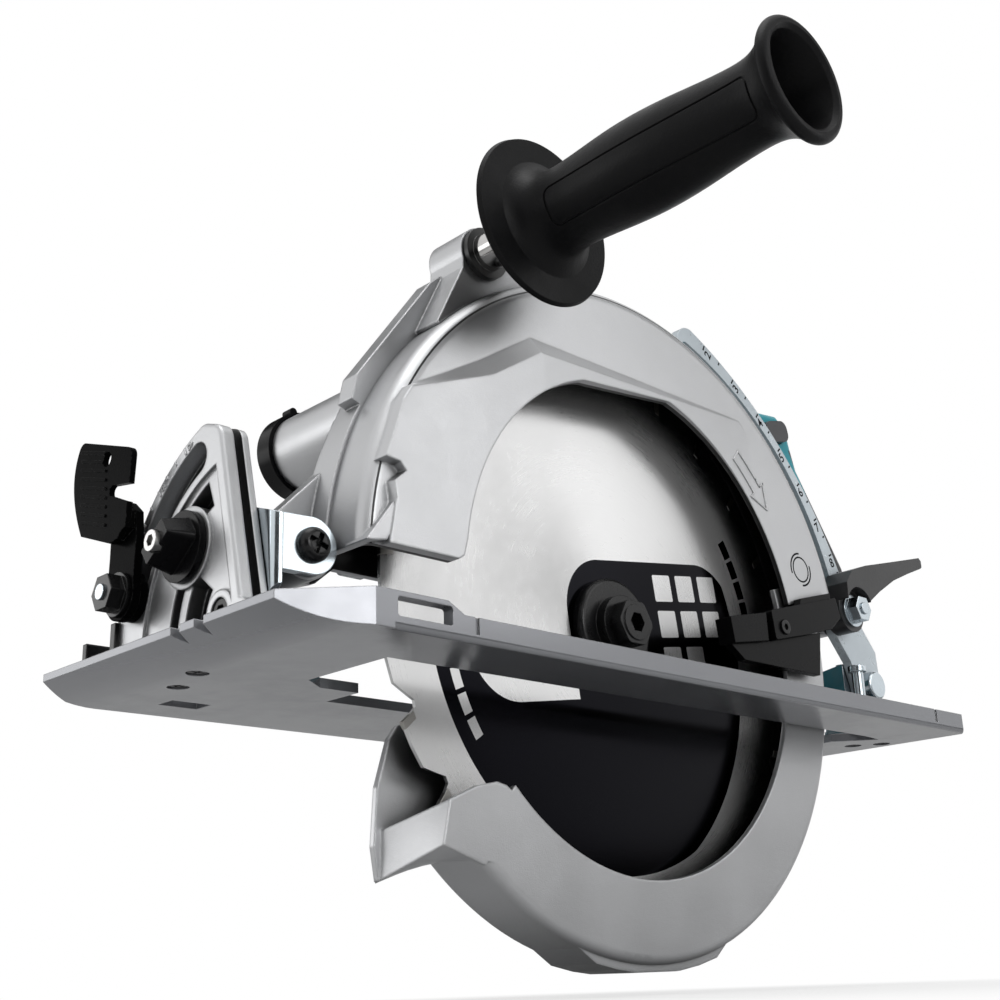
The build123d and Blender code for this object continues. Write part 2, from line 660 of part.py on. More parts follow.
def depth_guide():
    """Zinc arc plate: a slot along the bolt's path, a wider scale edge outside, a foot below."""
    low = guide_point(0)
    top = guide_point(DEPTH_MAX)
    start = degrees(atan2(low[1] - GUIDE_ARC_Z, low[0] - GUIDE_ARC_X))
    end = degrees(atan2(top[1] - GUIDE_ARC_Z, top[0] - GUIDE_ARC_X))
    rim = [polar(GUIDE_ARC_R, a, GUIDE_ARC_X, GUIDE_ARC_Z) for a in (end, (start + end) / 2, start)]
    inner = guide_edge(GUIDE_W / 2)
    tip = ThreePointArc(inner @ 1, guide_beside(DEPTH_MAX, -0.5, GUIDE_W / 2 + 1.5), rim[0])
    outer = ThreePointArc(*rim)
    foot = Polyline(
        rim[2],
        (RIVET_X + 11, RIVET_Z + 20),
        (RIVET_X + 12, RIVET_Z + 4),
        (RIVET_X + FOOT_R, RIVET_Z),
    )
    round_foot = ThreePointArc(foot @ 1, (RIVET_X, RIVET_Z - FOOT_R), (RIVET_X - FOOT_R, RIVET_Z))
    shin = Polyline(round_foot @ 1, (RIVET_X - 14, RIVET_Z + 12), (low[0] - 2, low[1] - 10), inner @ 0)
    guide = slab_y(closed(inner, tip, outer, foot, round_foot, shin), GUIDE_Y0, GUIDE_Y1)
    guide -= slab_y(guide_slot(), GUIDE_Y0 - 1, GUIDE_Y1 + 1)
    return guide - rod_y(3.0 + RUN, GUIDE_Y0 - 1, GUIDE_Y1 + 1, RIVET_X, RIVET_Z)


# Levers and knob


def bevel_lever():
    """Stamped lever: hub, bent arm and a ribbed thumb plate with a hole and a notch."""
    hub_x0 = QUAD_X0 - 7.0
    hub_x1 = QUAD_X0 - 3.6
    plate_x0 = QUAD_X0 - 11.0
    lever = rod_x(10.0, hub_x0, hub_x1, BEVEL_BOLT_Y, BEVEL_BOLT_Z)
    lever += rod_x(9.6, hub_x1, QUAD_X0 - 0.4, BEVEL_BOLT_Y, BEVEL_BOLT_Z)
    arm = poly((53.4, 34), (52.6, 52), (54, 63), (60, 68), (72, 62), (72, 48), (72.6, 34))
    lever += slab_x(arm, hub_x0, hub_x1)
    edge = Spline((89, 60.5), (95.6, 74), (98, 87), (93, 101.5))
    sides = Polyline((93, 101.5), (52, 87.2), (53.6, 68), (54, 58), (60, 52.5), (66, 52), (89, 60.5))
    thumb = closed(edge, sides)
    thumb = fillet(thumb.vertices().sort_by(Axis.Y)[-2:], 4)
    notch = poly((45, 71.6), (66, 75.6), (66, 71.2), (57, 67.2), (45, 62.6)) + Pos(66, 73.4) * Circle(2.2)
    lever += slab_x(thumb - notch, plate_x0, plate_x0 + 2.4)
    neck = poly((54.4, 56), (54.4, 63), (60, 67.6), (72, 64), (72, 56), (62, 53))
    lever += slab_x(neck, plate_x0, hub_x1)
    for i in range(9):
        rib = Pos(79.6 + 0.35 * i, 63.4 + 3.8 * i) * Rot(0, 0, 17) * SlotOverall(21.5, 1.3)
        lever += slab_x(rib, plate_x0 - 0.5, plate_x0 + 1)
    lever -= rod_x(3.1, plate_x0 - 2, plate_x0 + 2.5, 71.4, 88.0)
    return lever - rod_x(DEPTH_BOLT_R + RUN, plate_x0 - 20, QUAD_X1, BEVEL_BOLT_Y, BEVEL_BOLT_Z)


def bevel_nut():
    """Flanged hex nut on the bevel bolt."""
    back = QUAD_X0 - 7.0
    nut = rod_x(8.6, back - 1.6, back, BEVEL_BOLT_Y, BEVEL_BOLT_Z)
    nut += slab_x(Pos(BEVEL_BOLT_Y, BEVEL_BOLT_Z) * hexagon(13), back - 7.5, back - 1.6)
    return nut - rod_x(DEPTH_BOLT_R + RUN, back - 9, back + 1, BEVEL_BOLT_Y, BEVEL_BOLT_Z)


def stop_knob():
    """Bevel stop: a disc with a wedge-shaped finger piece."""
    back = QUAD_X0 - 0.3
    disc = rod_x(KNOB_DISC_R, back - 2.6, back, KNOB_Y, KNOB_Z)
    front = Plane(origin=(back - 2.6, KNOB_Y, KNOB_Z), x_dir=(0, 1, 0), z_dir=(-1, 0, 0))
    finger = extrude(front * (Rot(0, 0, 35) * RectangleRounded(21, 12, 3)), amount=10.5, taper=12)
    knob = disc + finger - rod_x(2.5, back - 20, back + 1, KNOB_Y, KNOB_Z)
    return knob - rod_x(4.2, back - 20, back - 11.4, KNOB_Y, KNOB_Z)


def knob_screw():
    front = QUAD_X0 - 15.2
    seat = QUAD_X0 - 0.3 - 11.4
    screw = rod_x(4.0, front, seat, KNOB_Y, KNOB_Z) + rod_x(2.5, seat, QUAD_X1 - 1, KNOB_Y, KNOB_Z)
    return screw - slab_x(Pos(KNOB_Y, KNOB_Z) * hexagon(4), front - 1, front + 2)


def depth_bolt():
    """Bolt through the lug of the housing and the slot of the guide."""
    head = slab_y(Pos(DEPTH_BOLT_X, DEPTH_BOLT_Z) * hexagon(11), PAN_BACK_Y - 4, PAN_BACK_Y + 1)
    return head + rod_y(DEPTH_BOLT_R, -27.5, PAN_BACK_Y - 4, DEPTH_BOLT_X, DEPTH_BOLT_Z)


def depth_lever():
    """Black lever on the depth bolt: hub, rising arm and a flat paddle end."""
    y0 = -19.0
    y1 = GUIDE_Y0 - GAP
    lever = rod_y(11.0, y0, y1, DEPTH_BOLT_X, DEPTH_BOLT_Z)
    top = [(-11, 0), (-10.5, 13), (-4, 20.5), (9, 25), (35, 31.6), (66, 39.6)]
    low = [(68, 38), (68, 34.6), (66.4, 33.4), (52, 28), (36, 21.4), (20, 12.4), (10.4, 6), (10, 0)]
    arm = poly(*[(DEPTH_BOLT_X + x, DEPTH_BOLT_Z + z) for x, z in top + low])
    arm_solid = slab_y(arm, y0 - 6, y1)
    arm_solid -= rod_y(11.6, y0 - 7, y0, DEPTH_BOLT_X, DEPTH_BOLT_Z)
    lever += arm_solid
    return lever - rod_y(DEPTH_BOLT_R + RUN, y0 - 10, y1 + 1, DEPTH_BOLT_X, DEPTH_BOLT_Z)


def depth_nut():
    """Zinc nut that clamps the depth lever."""
    nut = slab_y(Pos(DEPTH_BOLT_X, DEPTH_BOLT_Z) * hexagon(12), -26.5, -19.0)
    nut += rod_y(8.5, -20.5, -19.0, DEPTH_BOLT_X, DEPTH_BOLT_Z)
    return nut - rod_y(DEPTH_BOLT_R + RUN, -30, -18, DEPTH_BOLT_X, DEPTH_BOLT_Z)


# Blade case and gear housing


def case_window():
    """The window over the blade: an arc in front, a straight top, a wider arc behind."""
    front_low = polar(WINDOW_R, 172)
    top_front = polar(WINDOW_R, 108.5)
    top_rear = polar(WINDOW_REAR_R, 76.5)
    rear_low = polar(WINDOW_REAR_R, 11)
    front = ThreePointArc(front_low, polar(WINDOW_R, 140), top_front)
    rear = ThreePointArc(top_rear, polar(WINDOW_REAR_R, 45), rear_low)
    low = spread((-112, -60), (-112, 41), (-109, 43))
    close = Polyline(rear_low, (rear_low[0], low[0][1]), *low, front_low)
    return closed(front, Line(top_front, top_rear), rear, close)


def case_extent():
    """The case reaches down to these lines in front and behind."""
    return poly(
        *spread(
            (-175, 41.2),
            (-100, 41.2),
            (-60, 60),
            (60, 60),
            (104, 57.6),
            (145, 69.0),
            (185, 80.1),
            (185, 220),
            (-175, 220),
        )
    )


def case_hollow():
    inner = rod_y(CASE_R - CASE_WALL, CASE_FACE_Y + CASE_WALL - 0.7, CASE_SPLIT_Y + 1, 0, ARBOR_Z)
    return round_rim(inner, CASE_FACE_Y + CASE_WALL - 0.7, 4)


def raised_ridge():
    """Outline of the sloped ridge over the window, which fades out towards the rear."""
    return poly(
        *spread(
            (-134.5, 107.5),
            (-93.9, 130.6),
            (-63.9, 150.0),
            (82, 149.0),
            (100, 130),
            (140, 60),
            (60, 60),
            (-60, 60),
            (-100, 41.2),
            (-138, 41.2),
            (-132, 90),
        )
    )


def front_panel():
    """Outline of the flat front panel, with its notch and the small step under it."""
    return poly(
        *spread(
            (-134.5, 107.5),
            (-139.1, 100.5),
            (-148.2, 74.2),
            (-140.5, 73.3),
            (-138.4, 71.1),
            (-143.9, 66.2),
            (-142.9, 59.2),
            (-146.2, 42.4),
            (-146.2, 38),
            (-100, 38),
            (-88, 100),
            (-88.5, 125.6),
        )
    )


def panel_raise(outline, slope):
    """An outline raised over the face of the case, with sides leaning by the slope."""
    return Pos(0, CASE_FACE_Y, 0) * extrude(Plane.XZ * outline, amount=PANEL_RISE, taper=slope)


def case_screw_places():
    return [polar(SCREW_CIRCLE, d) for d in SCREW_DEGS]


def blade_case():
    """The cover on the blade side: rounded rim, open window, raised ridge and front panel."""
    cup = round_rim(rod_y(CASE_R, CASE_FACE_Y, CASE_SPLIT_Y, 0, ARBOR_Z), CASE_FACE_Y, CASE_EDGE)
    fin = poly(*spread((-142.9, 58), (-156, 40.6), (-146.2, 42.4), (-142.9, 50)))
    raised = panel_raise(raised_ridge(), 62) + panel_raise(front_panel(), 12)
    raised += slab_y(front_panel(), CASE_FACE_Y, CASE_FACE_Y + 10)
    raised += slab_y(fin, CASE_FACE_Y - PANEL_RISE + 1, CASE_FACE_Y + 10)
    top_y = CASE_FACE_Y - PANEL_RISE
    fade_x0 = -60 * SPREAD
    fade_x1 = 88 * SPREAD
    fade = poly((fade_x0, top_y), (fade_x1, CASE_FACE_Y), (400, CASE_FACE_Y), (400, -60), (fade_x0, -60))
    raised -= slab_z(fade, 0, 300)
    case = cup + raised - case_hollow()
    case &= slab_y(case_extent() - case_window(), CASE_FACE_Y - 10, CASE_SPLIT_Y)
    for x, z in case_screw_places():
        case += rod_y(SCREW_BOSS_R, CASE_FACE_Y + 2, CASE_SPLIT_Y, x, z)
        case -= rod_y(SCREW_R, -14, CASE_SPLIT_Y + 1, x, z)
    return case


def case_screws():
    """Screws from the motor side into the case, and the screw of the chip shield."""
    screws = []
    for x, z in case_screw_places():
        head = rod_y(3.8, PAN_BACK_Y, PAN_BACK_Y + 3, x, z)
        head -= slab_y(Pos(x, z) * hexagon(3), PAN_BACK_Y + 1, PAN_BACK_Y + 4)
        screws.append(head + rod_y(SCREW_R, -13, PAN_BACK_Y, x, z))
    screws.append(shield_screw())
    return Compound(children=screws)


def housing_extent():
    gearbox = ((-62, 24), (-36, 2), (36, 2), (72, 32))
    rear = spread((110, 57), (180, 79.6), (180, 240), (-175, 240))
    return poly(*spread((-175, 41.2), (-112, 41.2)), *gearbox, *rear)


def handle_strut():
    """The boss of the side handle, the web that carries it on the rim and a rail beside it."""
    front = spread((-94.5, 191), (-95, 176.5), (-110, 146.5), (-100, 132))
    web = poly(*front, *spread((-40, 160), (-50, 184), (-71, 191)))
    profile = web + Pos(HANDLE_X, HANDLE_Z) * Circle(HANDLE_BOSS_R)
    strut = slab_y(profile, BOSS_FACE_Y, 6)
    rail = poly(*spread((-92, 180), (-101, 173), (-141, 118.5), (-143.5, 107.5), (-134, 104), (-90, 160)))
    strut += slab_y(rail, CASE_SPLIT_Y, 8)
    strut -= rod_y(CASE_R + 0.2, CASE_FACE_Y - 5, CASE_SPLIT_Y, 0, ARBOR_Z)
    return strut - rod_y(HOUSING_R - 1, CASE_SPLIT_Y, PAN_BACK_Y + 1, 0, ARBOR_Z)


def pivot_arm():
    """Cast arm from the rim to the lug of the depth pivot."""
    arm = poly(*spread((-132, 96), (-176, 52), (-179, 40), (-168, 28), (-150, 34), (-138, 44)))
    solid = slab_y(arm, 9, PAN_BACK_Y)
    solid += rod_y(LUG_R, EAR_Y1 + GAP, PAN_BACK_Y, PIVOT_X, PIVOT_Z)
    solid -= rod_y(HOUSING_R - 1, CASE_SPLIT_Y, PAN_BACK_Y - PAN_WALL, 0, ARBOR_Z)
    return solid - rod_y(CASE_R + 0.2, CASE_FACE_Y, CASE_SPLIT_Y, 0, ARBOR_Z)


def guide_lug():
    """Lug behind the depth guide that holds the depth bolt."""
    lug = poly(*spread((140, 70), (144, 94), (175, 75), (180, 62), (168, 57)))
    lug += Pos(DEPTH_BOLT_X, DEPTH_BOLT_Z) * Circle(10)
    solid = slab_y(lug, GUIDE_Y1 + GAP, PAN_BACK_Y - 4)
    solid -= rod_y(HOUSING_R - 1, CASE_SPLIT_Y, PAN_BACK_Y, 0, ARBOR_Z)
    return solid - rod_y(CASE_R + 0.2, CASE_FACE_Y, CASE_SPLIT_Y, 0, ARBOR_Z)


def two_circles(radius_a, radius_b):
    """The hull of a circle about the arbor and one about the motor axis."""
    first = Pos(0, ARBOR_Z) * Circle(radius_a)
    second = Pos(MOTOR_X, MOTOR_Z) * Circle(radius_b)
    return make_hull(first.edges() + second.edges())


def gear_housing():
    """Back half of the case with the gearbox, the handle boss and the pivot lugs."""
    pan = round_rim(rod_y(HOUSING_R, CASE_SPLIT_Y, PAN_BACK_Y, 0, ARBOR_Z), PAN_BACK_Y, 3)
    pan -= rod_y(HOUSING_R - 4, CASE_SPLIT_Y - 1, PAN_BACK_Y - PAN_WALL, 0, ARBOR_Z)
    pan &= slab_y(housing_extent(), CASE_SPLIT_Y, PAN_BACK_Y)
    for x, z in case_screw_places():
        pan += rod_y(SCREW_BOSS_R, CASE_SPLIT_Y, PAN_BACK_Y - 1, x, z)
    housing = pan + handle_strut() + pivot_arm() + guide_lug()
    housing += rod_y(BOSS_R, BOSS_Y, PAN_BACK_Y, 0, ARBOR_Z)
    gearbox = two_circles(GEARBOX_R, MOTOR_R) - case_low_cut()
    housing += slab_y(gearbox, PAN_BACK_Y - 1, GEARBOX_BACK_Y)
    housing += box(72, 120, PAN_BACK_Y - 1, REAR_Y0 - 0.2, 84, 116)
    housing -= slab_y(two_circles(CHAMBER_R, PINION_CHAMBER_R), CHAMBER_Y0, CHAMBER_Y1)
    housing -= rod_y(ARBOR_BEARING[0], BOSS_Y + 2.4, BOSS_Y + 2.4 + ARBOR_BEARING[1], 0, ARBOR_Z)
    housing -= rod_y(ARBOR_BEARING[0] - 3, BOSS_Y - 1, CHAMBER_Y0 + 1, 0, ARBOR_Z)
    housing -= rod_y(TAIL_BEARING[0], CHAMBER_Y1 - 1, CHAMBER_Y1 + TAIL_BEARING[1], 0, ARBOR_Z)
    rotor_seat = GEARBOX_BACK_Y - ROTOR_BEARING[1]
    housing -= rod_y(ROTOR_BEARING[0], rotor_seat, GEARBOX_BACK_Y + 1, MOTOR_X, MOTOR_Z)
    housing -= rod_y(9.9, CHAMBER_Y1 - 1, GEARBOX_BACK_Y, MOTOR_X, MOTOR_Z)
    housing -= rod_y(BUSH_R, EAR_Y1 - 5, PAN_BACK_Y + 1, PIVOT_X, PIVOT_Z)
    housing -= rod_y(STUD_R - 2.5, BOSS_FACE_Y - 1, 1, HANDLE_X, HANDLE_Z)
    housing -= rod_y(DUST_BORE, PAN_BACK_Y - PAN_WALL - 1, PAN_BACK_Y + 1, DUST_X, DUST_Z)
    housing -= rod_y(DEPTH_BOLT_R, -6, PAN_BACK_Y, DEPTH_BOLT_X, DEPTH_BOLT_Z)
    for x, z in case_screw_places():
        housing -= rod_y(SCREW_R, -5, PAN_BACK_Y + 4, x, z) + rod_y(4.2, PAN_BACK_Y, PAN_BACK_Y + 6, x, z)
    for x, z in handle_screw_places()[:2]:
        housing -= rod_y(SCREW_R, PAN_BACK_Y, REAR_Y0 + 1, x, z)
    return housing - shaft_lock_hole()


def case_low_cut():
    """Nothing of the gearbox reaches below this height over the sole."""
    return Pos(0, -48) * Rectangle(400, 100)


def bearings():
    """Ball bearings of spindle and rotor, as closed rings."""
    spindle_seat = BOSS_Y + 2.4
    rotor_seat = GEARBOX_BACK_Y - ROTOR_BEARING[1]
    rings = []
    for size, shaft_r, seat, x, z in (
        (ARBOR_BEARING, SPINDLE_R, spindle_seat, 0, ARBOR_Z),
        (TAIL_BEARING, SPINDLE_TAIL_R, CHAMBER_Y1, 0, ARBOR_Z),
        (ROTOR_BEARING, ROTOR_SHAFT_R, rotor_seat, MOTOR_X, MOTOR_Z),
        (ROTOR_BEARING, ROTOR_TAIL_R, MOTOR_END_Y + 1, MOTOR_X, MOTOR_Z),
    ):
        rings.append(ring_y(size[0] - 0.02, shaft_r + RUN, seat, seat + size[1], x, z))
    return Compound(children=rings)


def ring_y(outer, inner, low, high, x, z):
    return slab_y(Pos(x, z) * (Circle(outer) - Circle(inner)), low, high)


def guard_spring():
    """Return spring of the lower guard, a closed coil round the boss."""
    hub_front = GUARD_BACK_Y - GUARD_T
    return ring_y(29.5, BOSS_R + 0.05, hub_front - 3.6, hub_front - 0.4, 0, ARBOR_Z)


def pivot_bush():
    """Black bush in the lug, round the pivot screw."""
    return ring_y(BUSH_R - 0.02, PIVOT_SCREW_R + RUN, EAR_Y1 + 0.1, PAN_BACK_Y + 0.3, PIVOT_X, PIVOT_Z)


def dust_outlet():
    """Tube for the chips, with a collar where it meets the housing."""
    tube = rod_y(DUST_R, PAN_BACK_Y, DUST_END_Y, DUST_X, DUST_Z)
    tube += rod_y(DUST_R + 2.5, PAN_BACK_Y, PAN_BACK_Y + 5, DUST_X, DUST_Z)
    return tube - rod_y(DUST_BORE, PAN_BACK_Y - 1, DUST_END_Y + 1, DUST_X, DUST_Z)


def dust_ring():
    """Black ring on the end of the dust tube, with a small lug."""
    y0 = DUST_END_Y - DUST_RING_W + 1.5
    ring = ring_y(DUST_RING_R, DUST_R + 0.05, y0, DUST_END_Y + 1.5, DUST_X, DUST_Z)
    lug_x, lug_z = polar(DUST_RING_R + 0.5, 110, DUST_X, DUST_Z)
    lug = rod_y(1.9, y0, DUST_END_Y - 1.5, lug_x, lug_z)
    return ring + (lug - rod_y(DUST_R + 1, y0 - 1, DUST_END_Y + 3, DUST_X, DUST_Z))


# Chip shield


def shield_screw():
    """Small screw of the chip shield."""
    y = CASE_FACE_Y - 8
    screw = rod_y(3.4, y, y + 2.4, SHIELD_SCREW_X, SHIELD_SCREW_Z)
    screw += rod_y(SCREW_R, y + 2.4, CASE_FACE_Y - 1, SHIELD_SCREW_X, SHIELD_SCREW_Z)
    return screw - slab_y(Pos(SHIELD_SCREW_X, SHIELD_SCREW_Z) * hexagon(3), y - 1, y + 1.4)


def chip_shield():
    """Black holder under the rear end of the case, with a block reaching over the window."""
    y0 = CASE_FACE_Y - 7
    y1 = CASE_FACE_Y + 3
    bar = slab_y(poly(*spread((84, 51), (140, 66), (143, 56), (134, 49), (116, 44), (86, 37))), y0, y1)
    shield = fillet(bar.edges().filter_by(Axis.Y), 1.2)
    shield += slab_y(poly(*spread((53, 43.5), (81, 49.5), (81, 36), (55, 31.5))), y0 + 1, y1)
    shield += slab_y(poly(*spread((80, 48), (88, 50), (88, 40), (80, 38))), y0 + 4, y1)
    shield += slab_y(poly(*spread((112, 56), (140, 64), (140, 69), (114, 62))), y0 + 3, CASE_FACE_Y)
    shield -= rod_y(3.6, y0 - 3, y0 + 1.4, SHIELD_SCREW_X, SHIELD_SCREW_Z)
    shield -= rod_y(SCREW_R, y0 - 3, CASE_FACE_Y - 1, SHIELD_SCREW_X, SHIELD_SCREW_Z)
    return shield - case_block()


def case_block():
    """Space that the rear end of the case takes up beside the chip shield."""
    return slab_y(case_extent() & (Pos(0, ARBOR_Z) * Circle(CASE_R + 1)), CASE_FACE_Y, CASE_SPLIT_Y)


def chip_flap():
    """Black deflector flap under the chip shield."""
    upper = spread((56, 31.9), (81, 36.2), (86, 37.2), (116, 44.2), (130, 47.5))
    flap = poly(*upper, *spread((126, 25.5), (66, 25.5)))
    low = slab_y(flap, CASE_FACE_Y - 2.6, CASE_FACE_Y + 1.4)
    return low - chip_shield()


# Arbor


def spindle():
    shaft = rod_y(SPINDLE_R, -BLADE_T / 2, CHAMBER_Y1, 0, ARBOR_Z)
    shaft += rod_y(SPINDLE_TAIL_R, CHAMBER_Y1, CHAMBER_Y1 + TAIL_BEARING[1], 0, ARBOR_Z)
    return shaft - rod_y(BOLT_SHANK_R, -5, 16, 0, ARBOR_Z)


def drive_gear():
    """Wheel on the spindle, with holes that the shaft lock drops into."""
    face = Pos(0, ARBOR_Z) * gear_face(WHEEL_TEETH, 0.8, ADDENDUM, DEDENDUM, wheel_phase())
    gear = slab_y(face, GEAR_Y0, GEAR_Y1) - rod_y(SPINDLE_R, GEAR_Y0 - 1, GEAR_Y1 + 1, 0, ARBOR_Z)
    for i in range(LOCK_HOLES):
        x, z = polar(LOCK_R, LOCK_DEG + 360 * i / LOCK_HOLES)
        gear -= rod_y(LOCK_PIN_R + 0.8, GEAR_Y0 + 2, GEAR_Y1 + 1, x, z)
    return gear


def wheel_phase():
    """A tooth of the wheel points at the pinion."""
    return degrees(atan2(MOTOR_Z - ARBOR_Z, MOTOR_X))


def inner_flange():
    flange = ring_y(FLANGE_R, SPINDLE_R, BLADE_T / 2, BLADE_T / 2 + INNER_FLANGE_T, 0, ARBOR_Z)
    return flange + ring_y(BORE_R, SPINDLE_R, -BLADE_T / 2, BLADE_T / 2, 0, ARBOR_Z)


def tooth_points(tip):
    """One tooth and the gullet behind it: drop below the rim and angle past the tip."""
    back = ((0.0, 0.0), (0.3, 4.0), (1.0, 8.2))
    gullet = ((0.68 * GULLET, 10.6), (GULLET, 12.0), (0.93 * GULLET, 13.3))
    return [polar(BLADE_R - drop, tip + turn) for drop, turn in back + gullet]


def tip_angles():
    return [TIP_PHASE + i * 360 / TEETH for i in range(TEETH)]


def blade():
    outline = [p for angle in tip_angles() for p in tooth_points(angle)]
    plate = slab_y(poly(*outline), -BLADE_T / 2, BLADE_T / 2)
    plate -= rod_y(BORE_R, -2, 2, 0, ARBOR_Z)
    for angle in tip_angles():
        plate -= slab_y(tip_face(angle), -BLADE_T, BLADE_T)
    return plate


def tip_face(angle):
    """Outline of one carbide tip in its seat."""
    return poly(
        polar(BLADE_R + 0.4, angle - 0.25),
        polar(BLADE_R - 6.5, angle - 1.2),
        polar(BLADE_R - 6.5, angle + 0.2),
        polar(BLADE_R, angle + 1.1),
    )


def blade_tips():
    tips = [slab_y(tip_face(angle), -KERF / 2, KERF / 2) for angle in tip_angles()]
    return Compound(children=tips)


def outer_flange():
    y1 = -BLADE_T / 2
    flange = round_rim(rod_y(FLANGE_R, y1 - OUTER_FLANGE_T, y1, 0, ARBOR_Z), y1 - OUTER_FLANGE_T, 2)
    flange += rod_y(HUB_R, y1 - OUTER_FLANGE_T - HUB_T, y1 - OUTER_FLANGE_T, 0, ARBOR_Z)
    return flange - rod_y(BOLT_SHANK_R, -30, 5, 0, ARBOR_Z)


def arbor_bolt():
    """Socket-head hex bolt that clamps the blade."""
    seat = -BLADE_T / 2 - OUTER_FLANGE_T - HUB_T
    head = slab_y(Pos(0, ARBOR_Z) * hexagon(BOLT_AF), seat - BOLT_HEAD_T, seat)
    head &= rod_y(BOLT_AF / 2 + 0.9, seat - BOLT_HEAD_T, seat, 0, ARBOR_Z)
    head += rod_y(8.0, seat - BOLT_HEAD_T - 0.6, seat - BOLT_HEAD_T, 0, ARBOR_Z)
    head -= slab_y(Pos(0, ARBOR_Z) * hexagon(8), seat - BOLT_HEAD_T - 2, seat - 1)
    return head + rod_y(BOLT_SHANK_R, seat, 15, 0, ARBOR_Z)


# Rotor and motor


def rotor_shaft():
    """Shaft with the pinion cut on its end."""
    phase = wheel_phase() + 180 + 180 / PINION_TEETH
    pinion = Pos(MOTOR_X, MOTOR_Z) * gear_face(PINION_TEETH, 0.8, ADDENDUM, DEDENDUM, phase)
    shaft = slab_y(pinion, GEAR_Y0 - 0.5, GEAR_Y1 + 0.5)
    shaft += rod_y(ROTOR_SHAFT_R, GEAR_Y0 - 0.5, MOTOR_END_Y + 0.5, MOTOR_X, MOTOR_Z)
    return shaft + rod_y(ROTOR_TAIL_R, MOTOR_END_Y + 0.5, MOTOR_END_Y + 8, MOTOR_X, MOTOR_Z)


def rotor_core():
    return ring_y(ROTOR_R, ROTOR_SHAFT_R, 61, 99, MOTOR_X, MOTOR_Z)


def fan():
    """Cooling fan: a disc with straight blades."""
    wheel = ring_y(FAN_R, ROTOR_SHAFT_R, 51, 53, MOTOR_X, MOTOR_Z)
    wheel += ring_y(9, ROTOR_SHAFT_R, 45, 53, MOTOR_X, MOTOR_Z)
    count = 14
    for i in range(count):
        blade_face = Pos(MOTOR_X, MOTOR_Z) * Rot(0, 0, 360 * i / count) * Pos(24, 0) * Rectangle(25, 1.6)
        wheel += slab_y(blade_face, 45.5, 51)
    return wheel


def stator():
    """Laminated ring with the winding ends, standing in the motor housing."""
    core = ring_y(STATOR_R, ROTOR_R + AIR_GAP, 62, 98, MOTOR_X, MOTOR_Z)
    return core + ring_y(STATOR_R - 6, ROTOR_R + 4, 57, 104, MOTOR_X, MOTOR_Z)


def motor_housing():
    """Tube round the motor, with air slots beside the fan and room for the lock button."""
    tube = ring_y(MOTOR_R, MOTOR_R - MOTOR_WALL, GEARBOX_BACK_Y, MOTOR_END_Y, MOTOR_X, MOTOR_Z)
    tube += ring_y(MOTOR_R - MOTOR_WALL + 0.5, STATOR_R + 0.02, 62, 98, MOTOR_X, MOTOR_Z)
    for i in range(9):
        slot = Pos(MOTOR_X, 0, MOTOR_Z) * Rot(0, 100 + 17 * i, 0) * Pos(MOTOR_R, 49, 0) * Box(16, 9, 4)
        tube -= slot
    x, z = polar(LOCK_R, LOCK_DEG)
    relief_y = GEARBOX_BACK_Y + LOCK_TRAVEL + LOCK_CAP_T + LOCK_ROOM
    return tube - rod_y(LOCK_CAP_R + LOCK_ROOM, GEARBOX_BACK_Y - 1, relief_y, x, z)


def motor_cap():
    """End cap with the rear rotor bearing and inlet slots."""
    cap = rod_y(MOTOR_R, MOTOR_END_Y, MOTOR_END_Y + CAP_T, MOTOR_X, MOTOR_Z)
    cap = round_rim(cap, MOTOR_END_Y + CAP_T, 5)
    seat_r = ROTOR_BEARING[0] + 3
    cap -= ring_y(MOTOR_R - MOTOR_WALL, seat_r, MOTOR_END_Y - 1, MOTOR_END_Y + 9, MOTOR_X, MOTOR_Z)
    cap -= rod_y(ROTOR_BEARING[0], MOTOR_END_Y - 1, MOTOR_END_Y + 1 + ROTOR_BEARING[1], MOTOR_X, MOTOR_Z)
    for i in range(5):
        slot = Pos(MOTOR_X, MOTOR_Z - 26 + 13 * i) * SlotOverall(54 if i == 2 else 46, 4)
        keep = Pos(MOTOR_X, MOTOR_Z) * Circle(ROTOR_BEARING[0] + 5)
        cap -= slab_y(slot - keep, MOTOR_END_Y + 5, MOTOR_END_Y + CAP_T + 1)
    return cap


# Lower guard


def ruled(near, near_y, far, far_y):
    """A solid between a near and a far outline of as many corners each."""
    near_face = Plane(origin=(0, near_y, 0), x_dir=(1, 0, 0), z_dir=(0, -1, 0)) * poly(*near)
    far_face = Plane(origin=(0, far_y, 0), x_dir=(1, 0, 0), z_dir=(0, -1, 0)) * poly(*far)
    return loft([near_face.face(), far_face.face()], ruled=True)


